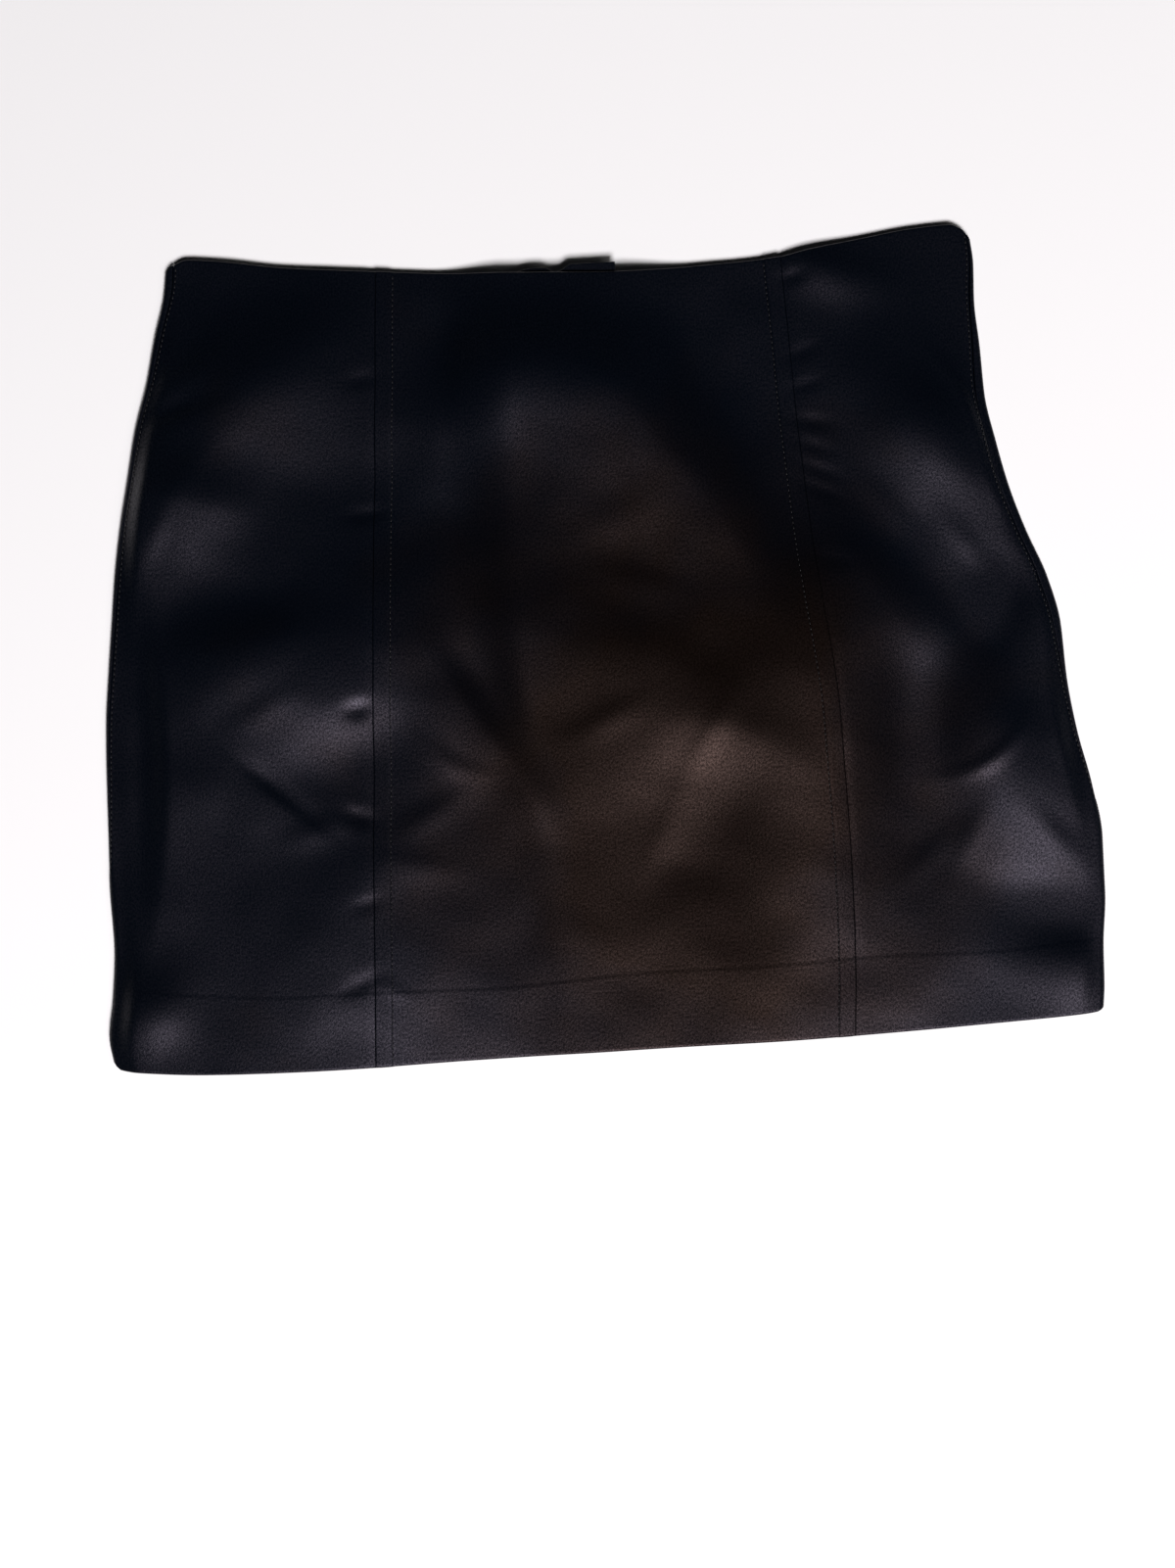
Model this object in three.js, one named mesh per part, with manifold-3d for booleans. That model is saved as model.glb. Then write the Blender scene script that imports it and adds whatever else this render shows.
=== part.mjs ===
// A black satin mini skirt, laid flat on its back with the front uppermost.
//
// The skirt is a tube of five panels: a front centre, two front sides, and two backs.
// The fronts meet on two shaped princess seams. The side seams lie a few millimetres in on
// the front, so each back wraps round the side fold and shows as a narrow strip there.
// The centre back is laced: ten eyelets, one lace, and a placket strip behind the opening.
//
// Frame: millimetres, +X across to the right, +Y towards the waist, +Z up off the surface.
// The origin is at the middle of the skirt's own outline, on the surface it lies on.

import * as THREE from "three";
import { mergeVertices } from "three/addons/utils/BufferGeometryUtils.js";
import Module from "manifold-3d";

const wasm = await Module();
wasm.setup();

// ---- driving sizes -------------------------------------------------------------------

const cloth = 1.0; // wall of one layer of satin with its interfacing
const clearance = 0.3; // between two pieces that touch or are sewn to each other
const sideClearance = 0.6; // the same along the cloth at a side seam, on its tight fold
const foldRadius = 1.6; // across the fold at each side, where the back turns to the front
const hemDepth = 35; // turned-up hem
const hemExtra = 0.4; // what the turned-up layer adds to the inside of the wall
const seamStrip = 7.9; // from a princess seam to its topstitching
const seamRise = 0.6; // how far the allowances under that strip lift it
const greatestGap = 9; // between the front and the back, besides the clearance
const restingGap = 1.7; // the same where there is no fold

// Sections across the tube, from the waist (0) to the hem (1). Left and right are the
// outline, seam_left and seam_right the princess seams, and inset_left and inset_right how
// far each side seam lies in from the outline; below 0 it is round on the underside.
const sections = [
  // down, left, right, seam_left, seam_right, inset_left, inset_right
  [0.0, -186.5, 183.5, -90, 96, 4.2, 1.8],
  [0.03, -188, 184.5, -90.5, 96.5, 4.6, 1.9],
  [0.08, -193, 184, -91.5, 97.5, 4.2, 2.4],
  [0.14, -198, 185.5, -92.5, 98.5, 3.2, 3.7],
  [0.2, -204.5, 186.5, -94, 99.5, 2.6, 4.7],
  [0.26, -209, 190.5, -95, 101, 2.4, 5.4],
  [0.32, -213.5, 195.5, -96.5, 102.5, 2.3, 5.6],
  [0.38, -217, 202.5, -97.5, 104, 2.2, 5.2],
  [0.44, -219.5, 211, -98.5, 106, 2.0, 5.4],
  [0.5, -222, 216, -99.5, 108.5, 1.8, 4.4],
  [0.57, -224.5, 217.5, -101, 111, 1.6, 2.0],
  [0.64, -225.5, 221, -102, 112, 1.2, 1.0],
  [0.71, -226, 226.5, -103.5, 113, 0.5, 0.2],
  [0.78, -226.5, 230, -104.5, 113.5, -0.2, -0.4],
  [0.85, -226, 230, -105.5, 113.5, -0.7, -0.7],
  [0.92, -228, 228, -106.5, 113, -0.8, -0.8],
  [0.97, -230.5, 227.5, -107.5, 112, -0.8, -0.8],
  [1.0, -229, 226.5, -108, 111.5, -0.8, -0.8],
];

// The waist and hem edges, from the left outline (0) to the right outline (1).
const waistEdge = [
  // across, y
  [0.0, 181.2],
  [0.012, 185.3],
  [0.027, 187.3],
  [0.06, 186.2],
  [0.14, 181.7],
  [0.22, 178.8],
  [0.3, 176.3],
  [0.38, 173.9],
  [0.46, 172.3],
  [0.57, 170.8],
  [0.65, 172.1],
  [0.76, 174.4],
  [0.8, 177.2],
  [0.86, 180.7],
  [0.93, 184.4],
  [0.975, 185.3],
  [0.99, 183.0],
  [1.0, 178.2],
];
const hemEdge = [
  // across, y
  [0.0, -179.5],
  [0.006, -182.8],
  [0.03, -184.6],
  [0.1, -186.7],
  [0.2, -187.3],
  [0.35, -186.2],
  [0.5, -185.3],
  [0.75, -184.4],
  [0.88, -182.6],
  [0.97, -180.6],
  [0.995, -179.5],
  [1.0, -177.8],
];

// The largest folds of the front. Each is a soft ridge, or a trough where rise is below 0.
// x and y are its middle, turn the heading of its crest from +X in degrees, length its
// spread along the crest, left and right its spread to either side of it, bow how far its
// ends curl to the crest's left, and rise its height before it is limited.
const folds = [
  // x, y, turn, length, left, right, bow, rise
  [57, 58, -57, 46, 18, 24, -4, 5.0], // right drag from the waist to the hip
  [98, -50, -10, 32, 48, 50, -4, 6.0], // what it pulls up below it
  [156, 2, -40, 22, 15, 18, 0, 2.8],
  [181, 10, 85, 24, 11, 11, 0, -2.2], // hollow inside the right side seam
  [152, -52, 86, 34, 16, 16, 0, -2.4],
  [-50, 108, 66, 28, 13, 24, 0, 2.4], // left drag, its upper end
  [-110, 0, 4, 38, 34, 24, -8, 5.0],
  [-160, 8, 12, 20, 14, 16, 0, 2.2],
  [-191, -42, 88, 44, 12, 50, 4, 3.0], // the left end rises from its side fold
  [-156, 118, 26, 38, 18, 26, -4, 5.5], // puff under the left end of the waist
  [-184, 64, -14, 20, 14, 13, 0, 2.8],
  [160, 94, -46, 38, 14, 20, 0, 4.5], // puff under the right end of the waist
  [6, 124, -16, 42, 24, 24, -10, 4.5], // top of the dome between the drags
  [-14, -30, -88, 85, 55, 15, 6, 3.4], // its left shoulder
  [40, -30, -6, 34, 22, 22, -4, 2.4],
  [190, -46, -22, 26, 12, 26, -3, 4.0],
  [-108, -126, 78, 56, 46, 24, 0, 4.0], // the lower left rises to the right
];

// The laced opening at the centre back.
const openingCentre = -3.5; // where its middle lies across the skirt
const openingHalf = 9; // half its width
const openingStraight = 46; // y down to which it keeps that width
const openingEnd = 24; // y where the two edges meet
const eyeletCount = 5; // on each side
const eyeletPitch = 24;
const eyeletFirst = 159; // y of the topmost pair
const eyeletOffset = 15.5; // from the opening's middle to an eyelet's middle
const eyelet = { hole: 3.1, barrel: 2.85, bore: 2.35, flange: 4.6, rim: 3.9, sheet: 0.35 };
const laceDiameter = 1.5;
const laceSides = 8;
const laceTurn = 1.0; // how far past the middle of a bore the lace turns
const laceKnot = { across: 1.9, high: 1.0 }; // half sizes of the knot at each end
// How far the lace has risen on its way across the opening, for the bar between the lowest
// pair, a strand on its way down the skirt and one on its way up.
const crossing = [
  // share of the way, bar, down, up
  [0.22, 0.03, 0.05, 0.01],
  [0.5, 0.5, 0.76, 0.24],
  [0.78, 0.99, 1.0, 0.97],
];
const placketHalf = 23.5; // half the placket's width
const placketBottom = 30; // y of its lower end
const placketDrop = 3.8; // width of the step down to the back it is sewn to

// Heights at the lacing, worked up from the surface the skirt lies on.
const laceLow = 0.2 + laceDiameter / 2; // lace where it crosses outside the backs
const flangeUnder = laceLow + laceDiameter / 2 + 0.2;
const backLift = flangeUnder + eyelet.sheet + 0.25; // the backs' outer face at the lacing
const rimUnder = backLift + cloth + 0.25;
const laceHigh = rimUnder + eyelet.sheet + 0.2 + laceDiameter / 2; // where it runs inside
const knotHigh = laceHigh - 0.3;
const placketMiddle = laceHigh + laceDiameter / 2 + 0.3 + cloth / 2;
const placketGap = placketMiddle + cloth / 2 + 0.1 - backLift - cloth; // what the front clears

// ---- curves and fields ----------------------------------------------------------------

const mix = (a, b, t) => a + (b - a) * t;

// 0 below start, 1 above end, smooth between; start may be the larger.
function ease(start, end, x) {
  const t = Math.min(1, Math.max(0, (x - start) / (end - start)));
  return t * t * (3 - 2 * t);
}

// A smooth curve through rows of a table, from its first column to another, that never
// swings past its rows (Fritsch and Carlson's slopes).
function through(rows, column) {
  const at = rows.map((row) => row[0]);
  const value = rows.map((row) => row[column]);
  const rise = at.slice(1).map((x, i) => (value[i + 1] - value[i]) / (x - at[i]));
  const slope = value.map((_, i) => {
    const before = rise[Math.max(0, i - 1)];
    const after = rise[Math.min(rise.length - 1, i)];
    return before * after <= 0 ? 0 : (2 * before * after) / (before + after);
  });
  return (x) => {
    let i = 0;
    while (i < rise.length - 1 && x > at[i + 1]) i += 1;
    const step = at[i + 1] - at[i];
    const t = Math.min(1, Math.max(0, (x - at[i]) / step));
    const ease0 = (1 + 2 * t) * (1 - t) ** 2;
    const ease1 = t * t * (3 - 2 * t);
    const bend0 = t * (1 - t) ** 2 * step * slope[i];
    const bend1 = t * t * (t - 1) * step * slope[i + 1];
    return ease0 * value[i] + bend0 + ease1 * value[i + 1] + bend1;
  };
}

const outlineLeft = through(sections, 1);
const outlineRight = through(sections, 2);
const princessLeft = through(sections, 3);
const princessRight = through(sections, 4);
const insetLeft = through(sections, 5);
const insetRight = through(sections, 6);
const waistY = through(waistEdge, 1);
const hemY = through(hemEdge, 1);

// The y of a point x across and a share down of the way from the waist to the hem.
function heightOnSkirt(x, down) {
  const left = outlineLeft(down);
  const across = (x - left) / (outlineRight(down) - left);
  return mix(waistY(across), hemY(across), down);
}

// How far the lacing under them lifts the backs.
function lift(x, y) {
  const across = ease(80, 25, Math.abs(x - openingCentre));
  return backLift * across * ease(-40, placketBottom - 5, y);
}

// How far the inside of the front lies above the back, besides the clearance.
function gap(x, y, fromEdge) {
  let raised = restingGap;
  for (const [fx, fy, turn, length, left, right, bow, rise] of folds) {
    const a = THREE.MathUtils.degToRad(turn);
    const along = ((x - fx) * Math.cos(a) + (y - fy) * Math.sin(a)) / length;
    const across = (y - fy) * Math.cos(a) - (x - fx) * Math.sin(a) - bow * along * along;
    const aside = across / (across > 0 ? left : right);
    raised += rise * Math.exp(-(along * along + aside * aside) / 2);
  }
  const limited = greatestGap / (1 + Math.exp(4 * (0.5 - raised / greatestGap)));
  const overPlacket = ease(placketHalf + 30, placketHalf + 3, Math.abs(x - openingCentre));
  const lengthwise = ease(placketBottom - 100, placketBottom - 5, y);
  const lifted = limited + (placketGap - restingGap) * overPlacket * lengthwise;
  return mix(restingGap, lifted, ease(0, 12, fromEdge));
}

// The middle of the front's wall at (x, y), clear of its side folds.
function frontHeight(x, y, fromEdge) {
  return lift(x, y) + cloth + clearance + gap(x, y, fromEdge) + cloth / 2;
}

// ---- the tube -------------------------------------------------------------------------

// A quarter of the side fold, along the cloth.
const quarter = (foldRadius * Math.PI) / 2;

// Along the cloth from the outermost line of a side fold, for a distance in from it.
// It is above 0 on the front and below 0 on the underside.
function alongFor(inset) {
  const depth = Math.abs(inset);
  const run =
    depth < foldRadius
      ? (quarter * 2 * Math.acos(1 - depth / foldRadius)) / Math.PI
      : quarter + depth - foldRadius;
  return Math.sign(inset) * run;
}

// A point on the middle of the tube's wall, a distance along the cloth from the outermost
// line of the right side fold (side 1) or the left one (side -1).
function tubePoint(side, along, down) {
  const onFold = Math.abs(along) < quarter;
  const angle = (Math.PI / 2) * Math.min(1, Math.max(-1, along / quarter));
  const depth = onFold
    ? foldRadius * (1 - Math.cos(angle))
    : foldRadius + Math.abs(along) - quarter;
  const outline = side > 0 ? outlineRight(down) : outlineLeft(down);
  const x = outline - side * depth;
  const y = heightOnSkirt(x, down);
  const under = lift(x, y) + cloth / 2;
  const over = frontHeight(x, y, depth);
  const middle = (under + over) / 2;
  const z = middle + Math.sin(angle) * (over - middle);
  return new THREE.Vector3(x, y, z);
}

// Numbers from a to b with the given count of equal steps.
function steps(a, b, count) {
  return Array.from({ length: count + 1 }, (_, i) => mix(a, b, i / count));
}

// ---- closed walls ---------------------------------------------------------------------

// A closed wall through a grid of points. point(column, down) is a point in the middle of
// the cloth, and outward is 1 where columns run so that they turn left into the rows seen
// from outside. thick(column, down) gives what is added outside and inside.
function wall(columns, rows, point, outward, thick = () => [0, 0]) {
  const width = columns.length;
  const positions = [];
  const probe = 0.2;
  const span = probe / 360;
  const sheets = rows.flatMap((down) =>
    columns.map((column) => {
      const here = point(column, down);
      const before = Math.max(0, down - span);
      const after = Math.min(1, down + span);
      const acrossCloth = point(column, down, probe).sub(point(column, down, -probe));
      const downCloth = point(column, after).sub(point(column, before));
      const normal = downCloth.cross(acrossCloth).normalize().multiplyScalar(outward);
      const [outside, inside] = thick(column, down);
      return [
        here.clone().addScaledVector(normal, cloth / 2 + outside),
        here.clone().addScaledVector(normal, -cloth / 2 - inside),
      ];
    }),
  );
  for (const layer of [0, 1]) {
    for (const pair of sheets) positions.push(...pair[layer].toArray());
  }
  const count = sheets.length;
  const index = [];
  const quad = (a, b, c, d) => {
    if (outward > 0) index.push(a, b, c, a, c, d);
    else index.push(a, c, b, a, d, c);
  };
  const at = (i, j, layer) => layer * count + j * width + i;
  const lastI = width - 1;
  const lastJ = rows.length - 1;
  for (let j = 0; j < lastJ; j += 1) {
    for (let i = 0; i < lastI; i += 1) {
      quad(at(i, j, 0), at(i, j + 1, 0), at(i + 1, j + 1, 0), at(i + 1, j, 0));
      quad(at(i, j, 1), at(i + 1, j, 1), at(i + 1, j + 1, 1), at(i, j + 1, 1));
    }
    quad(at(0, j, 0), at(0, j, 1), at(0, j + 1, 1), at(0, j + 1, 0));
    quad(at(lastI, j, 0), at(lastI, j + 1, 0), at(lastI, j + 1, 1), at(lastI, j, 1));
  }
  for (let i = 0; i < lastI; i += 1) {
    quad(at(i, 0, 0), at(i + 1, 0, 0), at(i + 1, 0, 1), at(i, 0, 1));
    quad(at(i, lastJ, 0), at(i, lastJ, 1), at(i + 1, lastJ, 1), at(i + 1, lastJ, 0));
  }
  const geometry = new THREE.BufferGeometry();
  geometry.setAttribute("position", new THREE.Float32BufferAttribute(positions, 3));
  geometry.setIndex(index);
  geometry.computeVertexNormals();
  return geometry;
}

// A geometry as a manifold-3d solid, and back.
function solidOf(geometry) {
  const bare = geometry.clone();
  for (const name of Object.keys(bare.attributes)) {
    if (name !== "position") bare.deleteAttribute(name);
  }
  const merged = mergeVertices(bare, 1e-4);
  const mesh = new wasm.Mesh({
    numProp: 3,
    vertProperties: merged.attributes.position.array,
    triVerts: new Uint32Array(merged.index.array),
  });
  return new wasm.Manifold(mesh);
}

function geometryOf(solid) {
  const mesh = solid.getMesh();
  const geometry = new THREE.BufferGeometry();
  geometry.setAttribute("position", new THREE.Float32BufferAttribute(mesh.vertProperties, 3));
  geometry.setIndex(Array.from(mesh.triVerts));
  geometry.computeVertexNormals();
  return geometry;
}

// Rows of every panel: even steps, with the step of the hem between two close rows.
const hemRow = 1 - hemDepth / 365;
const bodyRows = steps(0, hemRow - 0.006, 23);
const panelRows = [...bodyRows, ...steps(hemRow, 1, 2)];
const inHem = (down) => (down >= hemRow - 0.001 ? 1 : 0);

// ---- materials ------------------------------------------------------------------------

const satin = new THREE.MeshStandardMaterial({ color: 0x16141a, roughness: 0.4, metalness: 0 });
const lacing = new THREE.MeshStandardMaterial({ color: 0x131316, roughness: 0.6, metalness: 0 });
const brass = new THREE.MeshStandardMaterial({ color: 0x2a2a2e, roughness: 0.35, metalness: 1 });

const skirt = new THREE.Group();

function add(name, geometry, material) {
  const mesh = new THREE.Mesh(geometry, material);
  mesh.name = name;
  skirt.add(mesh);
}

// ---- front ----------------------------------------------------------------------------

// The centre: a column is a distance in from the left princess seam, or, below 0, from the
// right one. The strip under which the allowances lie stands a little proud.
function frontCentre() {
  const edge = clearance / 2;
  const strip = [edge, seamStrip / 2, seamStrip - 0.5, seamStrip + 0.8];
  const left = strip.map((inset) => ({ inset, share: 0 }));
  const right = strip.map((inset) => ({ inset, share: 1 })).reverse();
  const between = steps(0, 1, 17).slice(1, -1);
  const middle = between.map((share) => ({ inset: seamStrip + 0.8, share }));
  const point = (column, down, aside = 0) => {
    const low = princessLeft(down) + column.inset;
    const high = princessRight(down) - column.inset;
    const x = mix(low, high, column.share) + aside;
    const y = heightOnSkirt(x, down);
    return new THREE.Vector3(x, y, frontHeight(x, y, 99));
  };
  const thick = (column, down) => {
    const onStrip = column.inset < seamStrip && column.share % 1 === 0;
    return [onStrip ? seamRise : 0, hemExtra * 0.5 * inHem(down)];
  };
  return wall([...left, ...middle, ...right], panelRows, point, 1, thick);
}

// A side: a column is a share of the way from the side seam to the princess seam, closer
// together beside the side seam.
function frontSide(side) {
  const columns = [0, 0.012, 0.035, 0.075, 0.135, ...steps(0.21, 1, 9)];
  const inset = side > 0 ? insetRight : insetLeft;
  const princess = side > 0 ? princessRight : princessLeft;
  const outline = side > 0 ? outlineRight : outlineLeft;
  const point = (column, down, aside = 0) => {
    const start = alongFor(inset(down)) + sideClearance / 2;
    const reach = Math.abs(outline(down) - princess(down)) - clearance / 2;
    const end = reach - foldRadius + quarter;
    return tubePoint(side, mix(start, end, column) + aside, down);
  };
  const thick = (column, down) => [0, hemExtra * 0.5 * inHem(down)];
  return wall(columns, panelRows, point, -side, thick);
}

add("front_centre", frontCentre(), satin);
add("front_side_left", frontSide(-1), satin);
add("front_side_right", frontSide(1), satin);

// ---- back -----------------------------------------------------------------------------

const eyeletRows = Array.from({ length: eyeletCount }, (_, i) => eyeletFirst - i * eyeletPitch);

// A back: from the laced opening, or the centre seam below it, out along the surface,
// round the side fold and up to the side seam. A column below 1 is a share of the flat
// part, and above 1 a share of the fold.
function backPanel(side) {
  const columns = [...steps(0, 1, 11), ...steps(1, 2, 6).slice(1)];
  const inset = side > 0 ? insetRight : insetLeft;
  const outline = side > 0 ? outlineRight : outlineLeft;
  const flatEnd = -quarter - 1.5;
  const point = (column, down, aside = 0) => {
    const centre = openingCentre + 1.5 * down;
    const y = heightOnSkirt(centre, down);
    const half = openingHalf * ease(openingEnd, openingStraight, y);
    const edge = centre + side * Math.max(half, clearance / 2);
    const start = -(Math.abs(outline(down) - edge) - foldRadius + quarter);
    const end = alongFor(inset(down)) - sideClearance / 2;
    const along =
      column <= 1 ? mix(start, flatEnd, column) : mix(flatEnd, end, column - 1);
    const place = tubePoint(side, along + aside, down);
    const hidden = ease(-quarter, -quarter - 8, along);
    place.y -= 0.8 * hidden * (1 - 2 * down);
    return place;
  };
  const thick = (column, down) => [0, column <= 1 ? hemExtra * 0.5 * inHem(down) : 0];
  const panel = wall(columns, panelRows, point, -side, thick);
  let solid = solidOf(panel);
  for (const y of eyeletRows) {
    const hole = new THREE.CylinderGeometry(eyelet.hole, eyelet.hole, 4 * cloth, 14);
    hole.rotateX(Math.PI / 2);
    hole.translate(openingCentre + side * eyeletOffset, y, backLift + cloth / 2);
    solid = solid.subtract(solidOf(hole));
  }
  return geometryOf(solid);
}

add("back_left", backPanel(-1), satin);
add("back_right", backPanel(1), satin);

// ---- placket --------------------------------------------------------------------------

// A strip behind the lacing, sewn to the left back and free at the right, where its square
// corner stands over the edge of the front.
function placket() {
  const top = through(
    [
      // x from the placket's middle, y of its top edge
      [-23.5, 172.0],
      [-21.0, 172.7],
      [-14.0, 173.6],
      [-9.0, 173.4],
      [-6.5, 172.6],
      [-4.5, 171.6],
      [-2.0, 171.8],
      [3.5, 174.4],
      [23.5, 174.4],
    ],
    1,
  );
  const inner = steps(-placketHalf + placketDrop, placketHalf, 11);
  const columns = [-placketHalf, -placketHalf + 0.4 * placketDrop, ...inner];
  const point = (column, down, aside = 0) => {
    const across = column + aside;
    const stepped = ease(-placketHalf + placketDrop, -placketHalf, across);
    const sewn = backLift + cloth + clearance + cloth / 2;
    const y = mix(top(across), placketBottom, down);
    return new THREE.Vector3(openingCentre + across, y, mix(placketMiddle, sewn, stepped));
  };
  return wall(columns, steps(0, 1, 10), point, 1);
}

add("placket", placket(), satin);

// ---- eyelets --------------------------------------------------------------------------

// One eyelet: flange outside the cloth, a barrel through it and a rolled rim inside.
function eyeletGeometry() {
  const { bore, barrel, flange, rim, sheet } = eyelet;
  const section = [
    [bore, flangeUnder],
    [flange - 0.2, flangeUnder],
    [flange, flangeUnder + sheet],
    [barrel, flangeUnder + sheet],
    [barrel, rimUnder],
    [rim, rimUnder],
    [rim - 0.3, rimUnder + sheet],
    [bore, rimUnder + sheet],
    [bore, flangeUnder],
  ].map(([r, z]) => new THREE.Vector2(r, z));
  return new THREE.LatheGeometry(section, 14).rotateX(Math.PI / 2);
}

for (const [side, name] of [
  [-1, "left"],
  [1, "right"],
]) {
  eyeletRows.forEach((y, i) => {
    const ring = eyeletGeometry();
    ring.translate(openingCentre + side * eyeletOffset, y, 0);
    add(`eyelet_${name}_${i + 1}`, ring, brass);
  });
}

// ---- lace -----------------------------------------------------------------------------

// The lace's line: from a knot inside the top left eyelet it zigzags down, crosses in a
// bar between the lowest pair and zigzags up again to a knot inside the top right one. It
// reaches each eyelet inside the back, turns out through the bore, and crosses the opening
// from outside to inside.
function laceLine() {
  const stops = [];
  for (let row = 0; row < eyeletCount; row += 1) stops.push([row % 2 ? 1 : -1, row]);
  for (let row = eyeletCount - 1; row >= 0; row -= 1) stops.push([row % 2 ? -1 : 1, row]);
  const places = stops.map(
    ([side, row]) => new THREE.Vector2(openingCentre + side * eyeletOffset, eyeletRows[row]),
  );
  const knotBelow = new THREE.Vector2(0, -9.5);
  const knots = [places[0], places.at(-1)].map((place) => place.clone().add(knotBelow));
  const line = [new THREE.Vector3(knots[0].x, knots[0].y, knotHigh)];
  places.forEach((place, i) => {
    const first = i === 0;
    const last = i === places.length - 1;
    const from = first ? knots[0] : places[i - 1];
    const to = last ? knots[1] : places[i + 1];
    const inward = from.clone().sub(place).normalize();
    const onward = to.clone().sub(place).normalize();
    // The lace turns just past the middle of the bore, in the corner of its two ways.
    const turned = inward.clone().add(onward);
    if (turned.length() < 0.2) turned.copy(inward);
    turned.normalize().multiplyScalar(-laceTurn);
    const step = (plan, z) => line.push(new THREE.Vector3(place.x + plan.x, place.y + plan.y, z));
    const bend = laceTurn + 0.5;
    // The last eyelet is reached inside and the knot lies beside it.
    if (last) return;
    step(inward.clone().multiplyScalar(2), laceHigh);
    step(inward.clone().multiplyScalar(0.6), laceHigh - 0.05);
    step(turned, laceHigh - bend);
    step(turned, laceLow + bend);
    step(onward.clone().multiplyScalar(0.6), laceLow + 0.05);
    step(onward.clone().multiplyScalar(2), laceLow);
    // The strand on its way down the skirt rises early and the one on its way up rises
    // late, so that they pass in the middle of the opening.
    const down = i < eyeletCount - 1;
    const bar = i === eyeletCount - 1;
    for (const [share, barRise, downRise, upRise] of crossing) {
      const plan = place.clone().lerp(to, share);
      const rise = bar ? barRise : down ? downRise : upRise;
      line.push(new THREE.Vector3(plan.x, plan.y, mix(laceLow, laceHigh, rise)));
    }
  });
  line.push(new THREE.Vector3(knots[1].x, knots[1].y, knotHigh));
  return { line, knots };
}

// A closed tube along a smooth curve through points, each stretch cut into the given
// count of pieces.
function tube(points, pieces, radius, sides) {
  const curve = new THREE.CatmullRomCurve3(points, false, "centripetal");
  const stations = steps(0, 1, (points.length - 1) * pieces);
  const centres = stations.map((t) => curve.getPoint(t));
  const headings = stations.map((t) => curve.getTangent(t));
  const ring = [];
  let aside = new THREE.Vector3(0, 0, 1).cross(headings[0]).normalize();
  centres.forEach((centre, i) => {
    if (i) {
      const turn = new THREE.Quaternion().setFromUnitVectors(headings[i - 1], headings[i]);
      aside.applyQuaternion(turn);
    }
    const up = headings[i].clone().cross(aside).normalize();
    for (let k = 0; k < sides; k += 1) {
      const a = (2 * Math.PI * (k + 0.5)) / sides;
      const out = aside.clone().multiplyScalar(Math.cos(a)).addScaledVector(up, Math.sin(a));
      ring.push(...centre.clone().addScaledVector(out, radius).toArray());
    }
  });
  const index = [];
  for (let i = 0; i < centres.length - 1; i += 1) {
    for (let k = 0; k < sides; k += 1) {
      const a = i * sides + k;
      const b = i * sides + ((k + 1) % sides);
      index.push(a, b, a + sides, b, b + sides, a + sides);
    }
  }
  const end = (centres.length - 1) * sides;
  for (let k = 1; k < sides - 1; k += 1) {
    index.push(0, k + 1, k, end, end + k, end + k + 1);
  }
  const geometry = new THREE.BufferGeometry();
  geometry.setAttribute("position", new THREE.Float32BufferAttribute(ring, 3));
  geometry.setIndex(index);
  return geometry;
}

function laceGeometry() {
  const { line, knots } = laceLine();
  let solid = solidOf(tube(line, 2, laceDiameter / 2, laceSides));
  for (const knot of knots) {
    const ball = new THREE.SphereGeometry(1, 12, 8);
    ball.scale(laceKnot.across, laceKnot.across, laceKnot.high);
    ball.translate(knot.x, knot.y, knotHigh);
    solid = solid.add(solidOf(ball));
  }
  return geometryOf(solid);
}

add("lace", laceGeometry(), lacing);

export default skirt;
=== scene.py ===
import math

import bpy
import numpy as np
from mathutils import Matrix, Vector


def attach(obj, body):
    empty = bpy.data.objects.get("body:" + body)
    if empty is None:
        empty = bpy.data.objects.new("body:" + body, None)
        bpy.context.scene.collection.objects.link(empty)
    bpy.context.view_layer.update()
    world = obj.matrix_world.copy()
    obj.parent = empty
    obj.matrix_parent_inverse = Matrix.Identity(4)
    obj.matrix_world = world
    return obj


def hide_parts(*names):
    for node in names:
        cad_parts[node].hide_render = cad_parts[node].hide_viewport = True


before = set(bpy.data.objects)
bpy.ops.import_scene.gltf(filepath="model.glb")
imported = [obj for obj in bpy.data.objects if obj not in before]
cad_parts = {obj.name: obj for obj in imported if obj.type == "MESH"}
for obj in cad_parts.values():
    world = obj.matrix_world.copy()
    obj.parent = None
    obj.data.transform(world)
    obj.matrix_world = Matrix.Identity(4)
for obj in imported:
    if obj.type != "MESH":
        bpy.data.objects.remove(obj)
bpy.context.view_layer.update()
MM = 0.001

# ---------------------------------------------------------------------------------------
# The front centre: the panel between the two princess seams. It is black satin backed with
# a light interfacing, faced at the waist and turned up 35 mm at the hem. The allowances of
# both princess seams are pressed under its edges and topstitched down.
# ---------------------------------------------------------------------------------------

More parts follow.
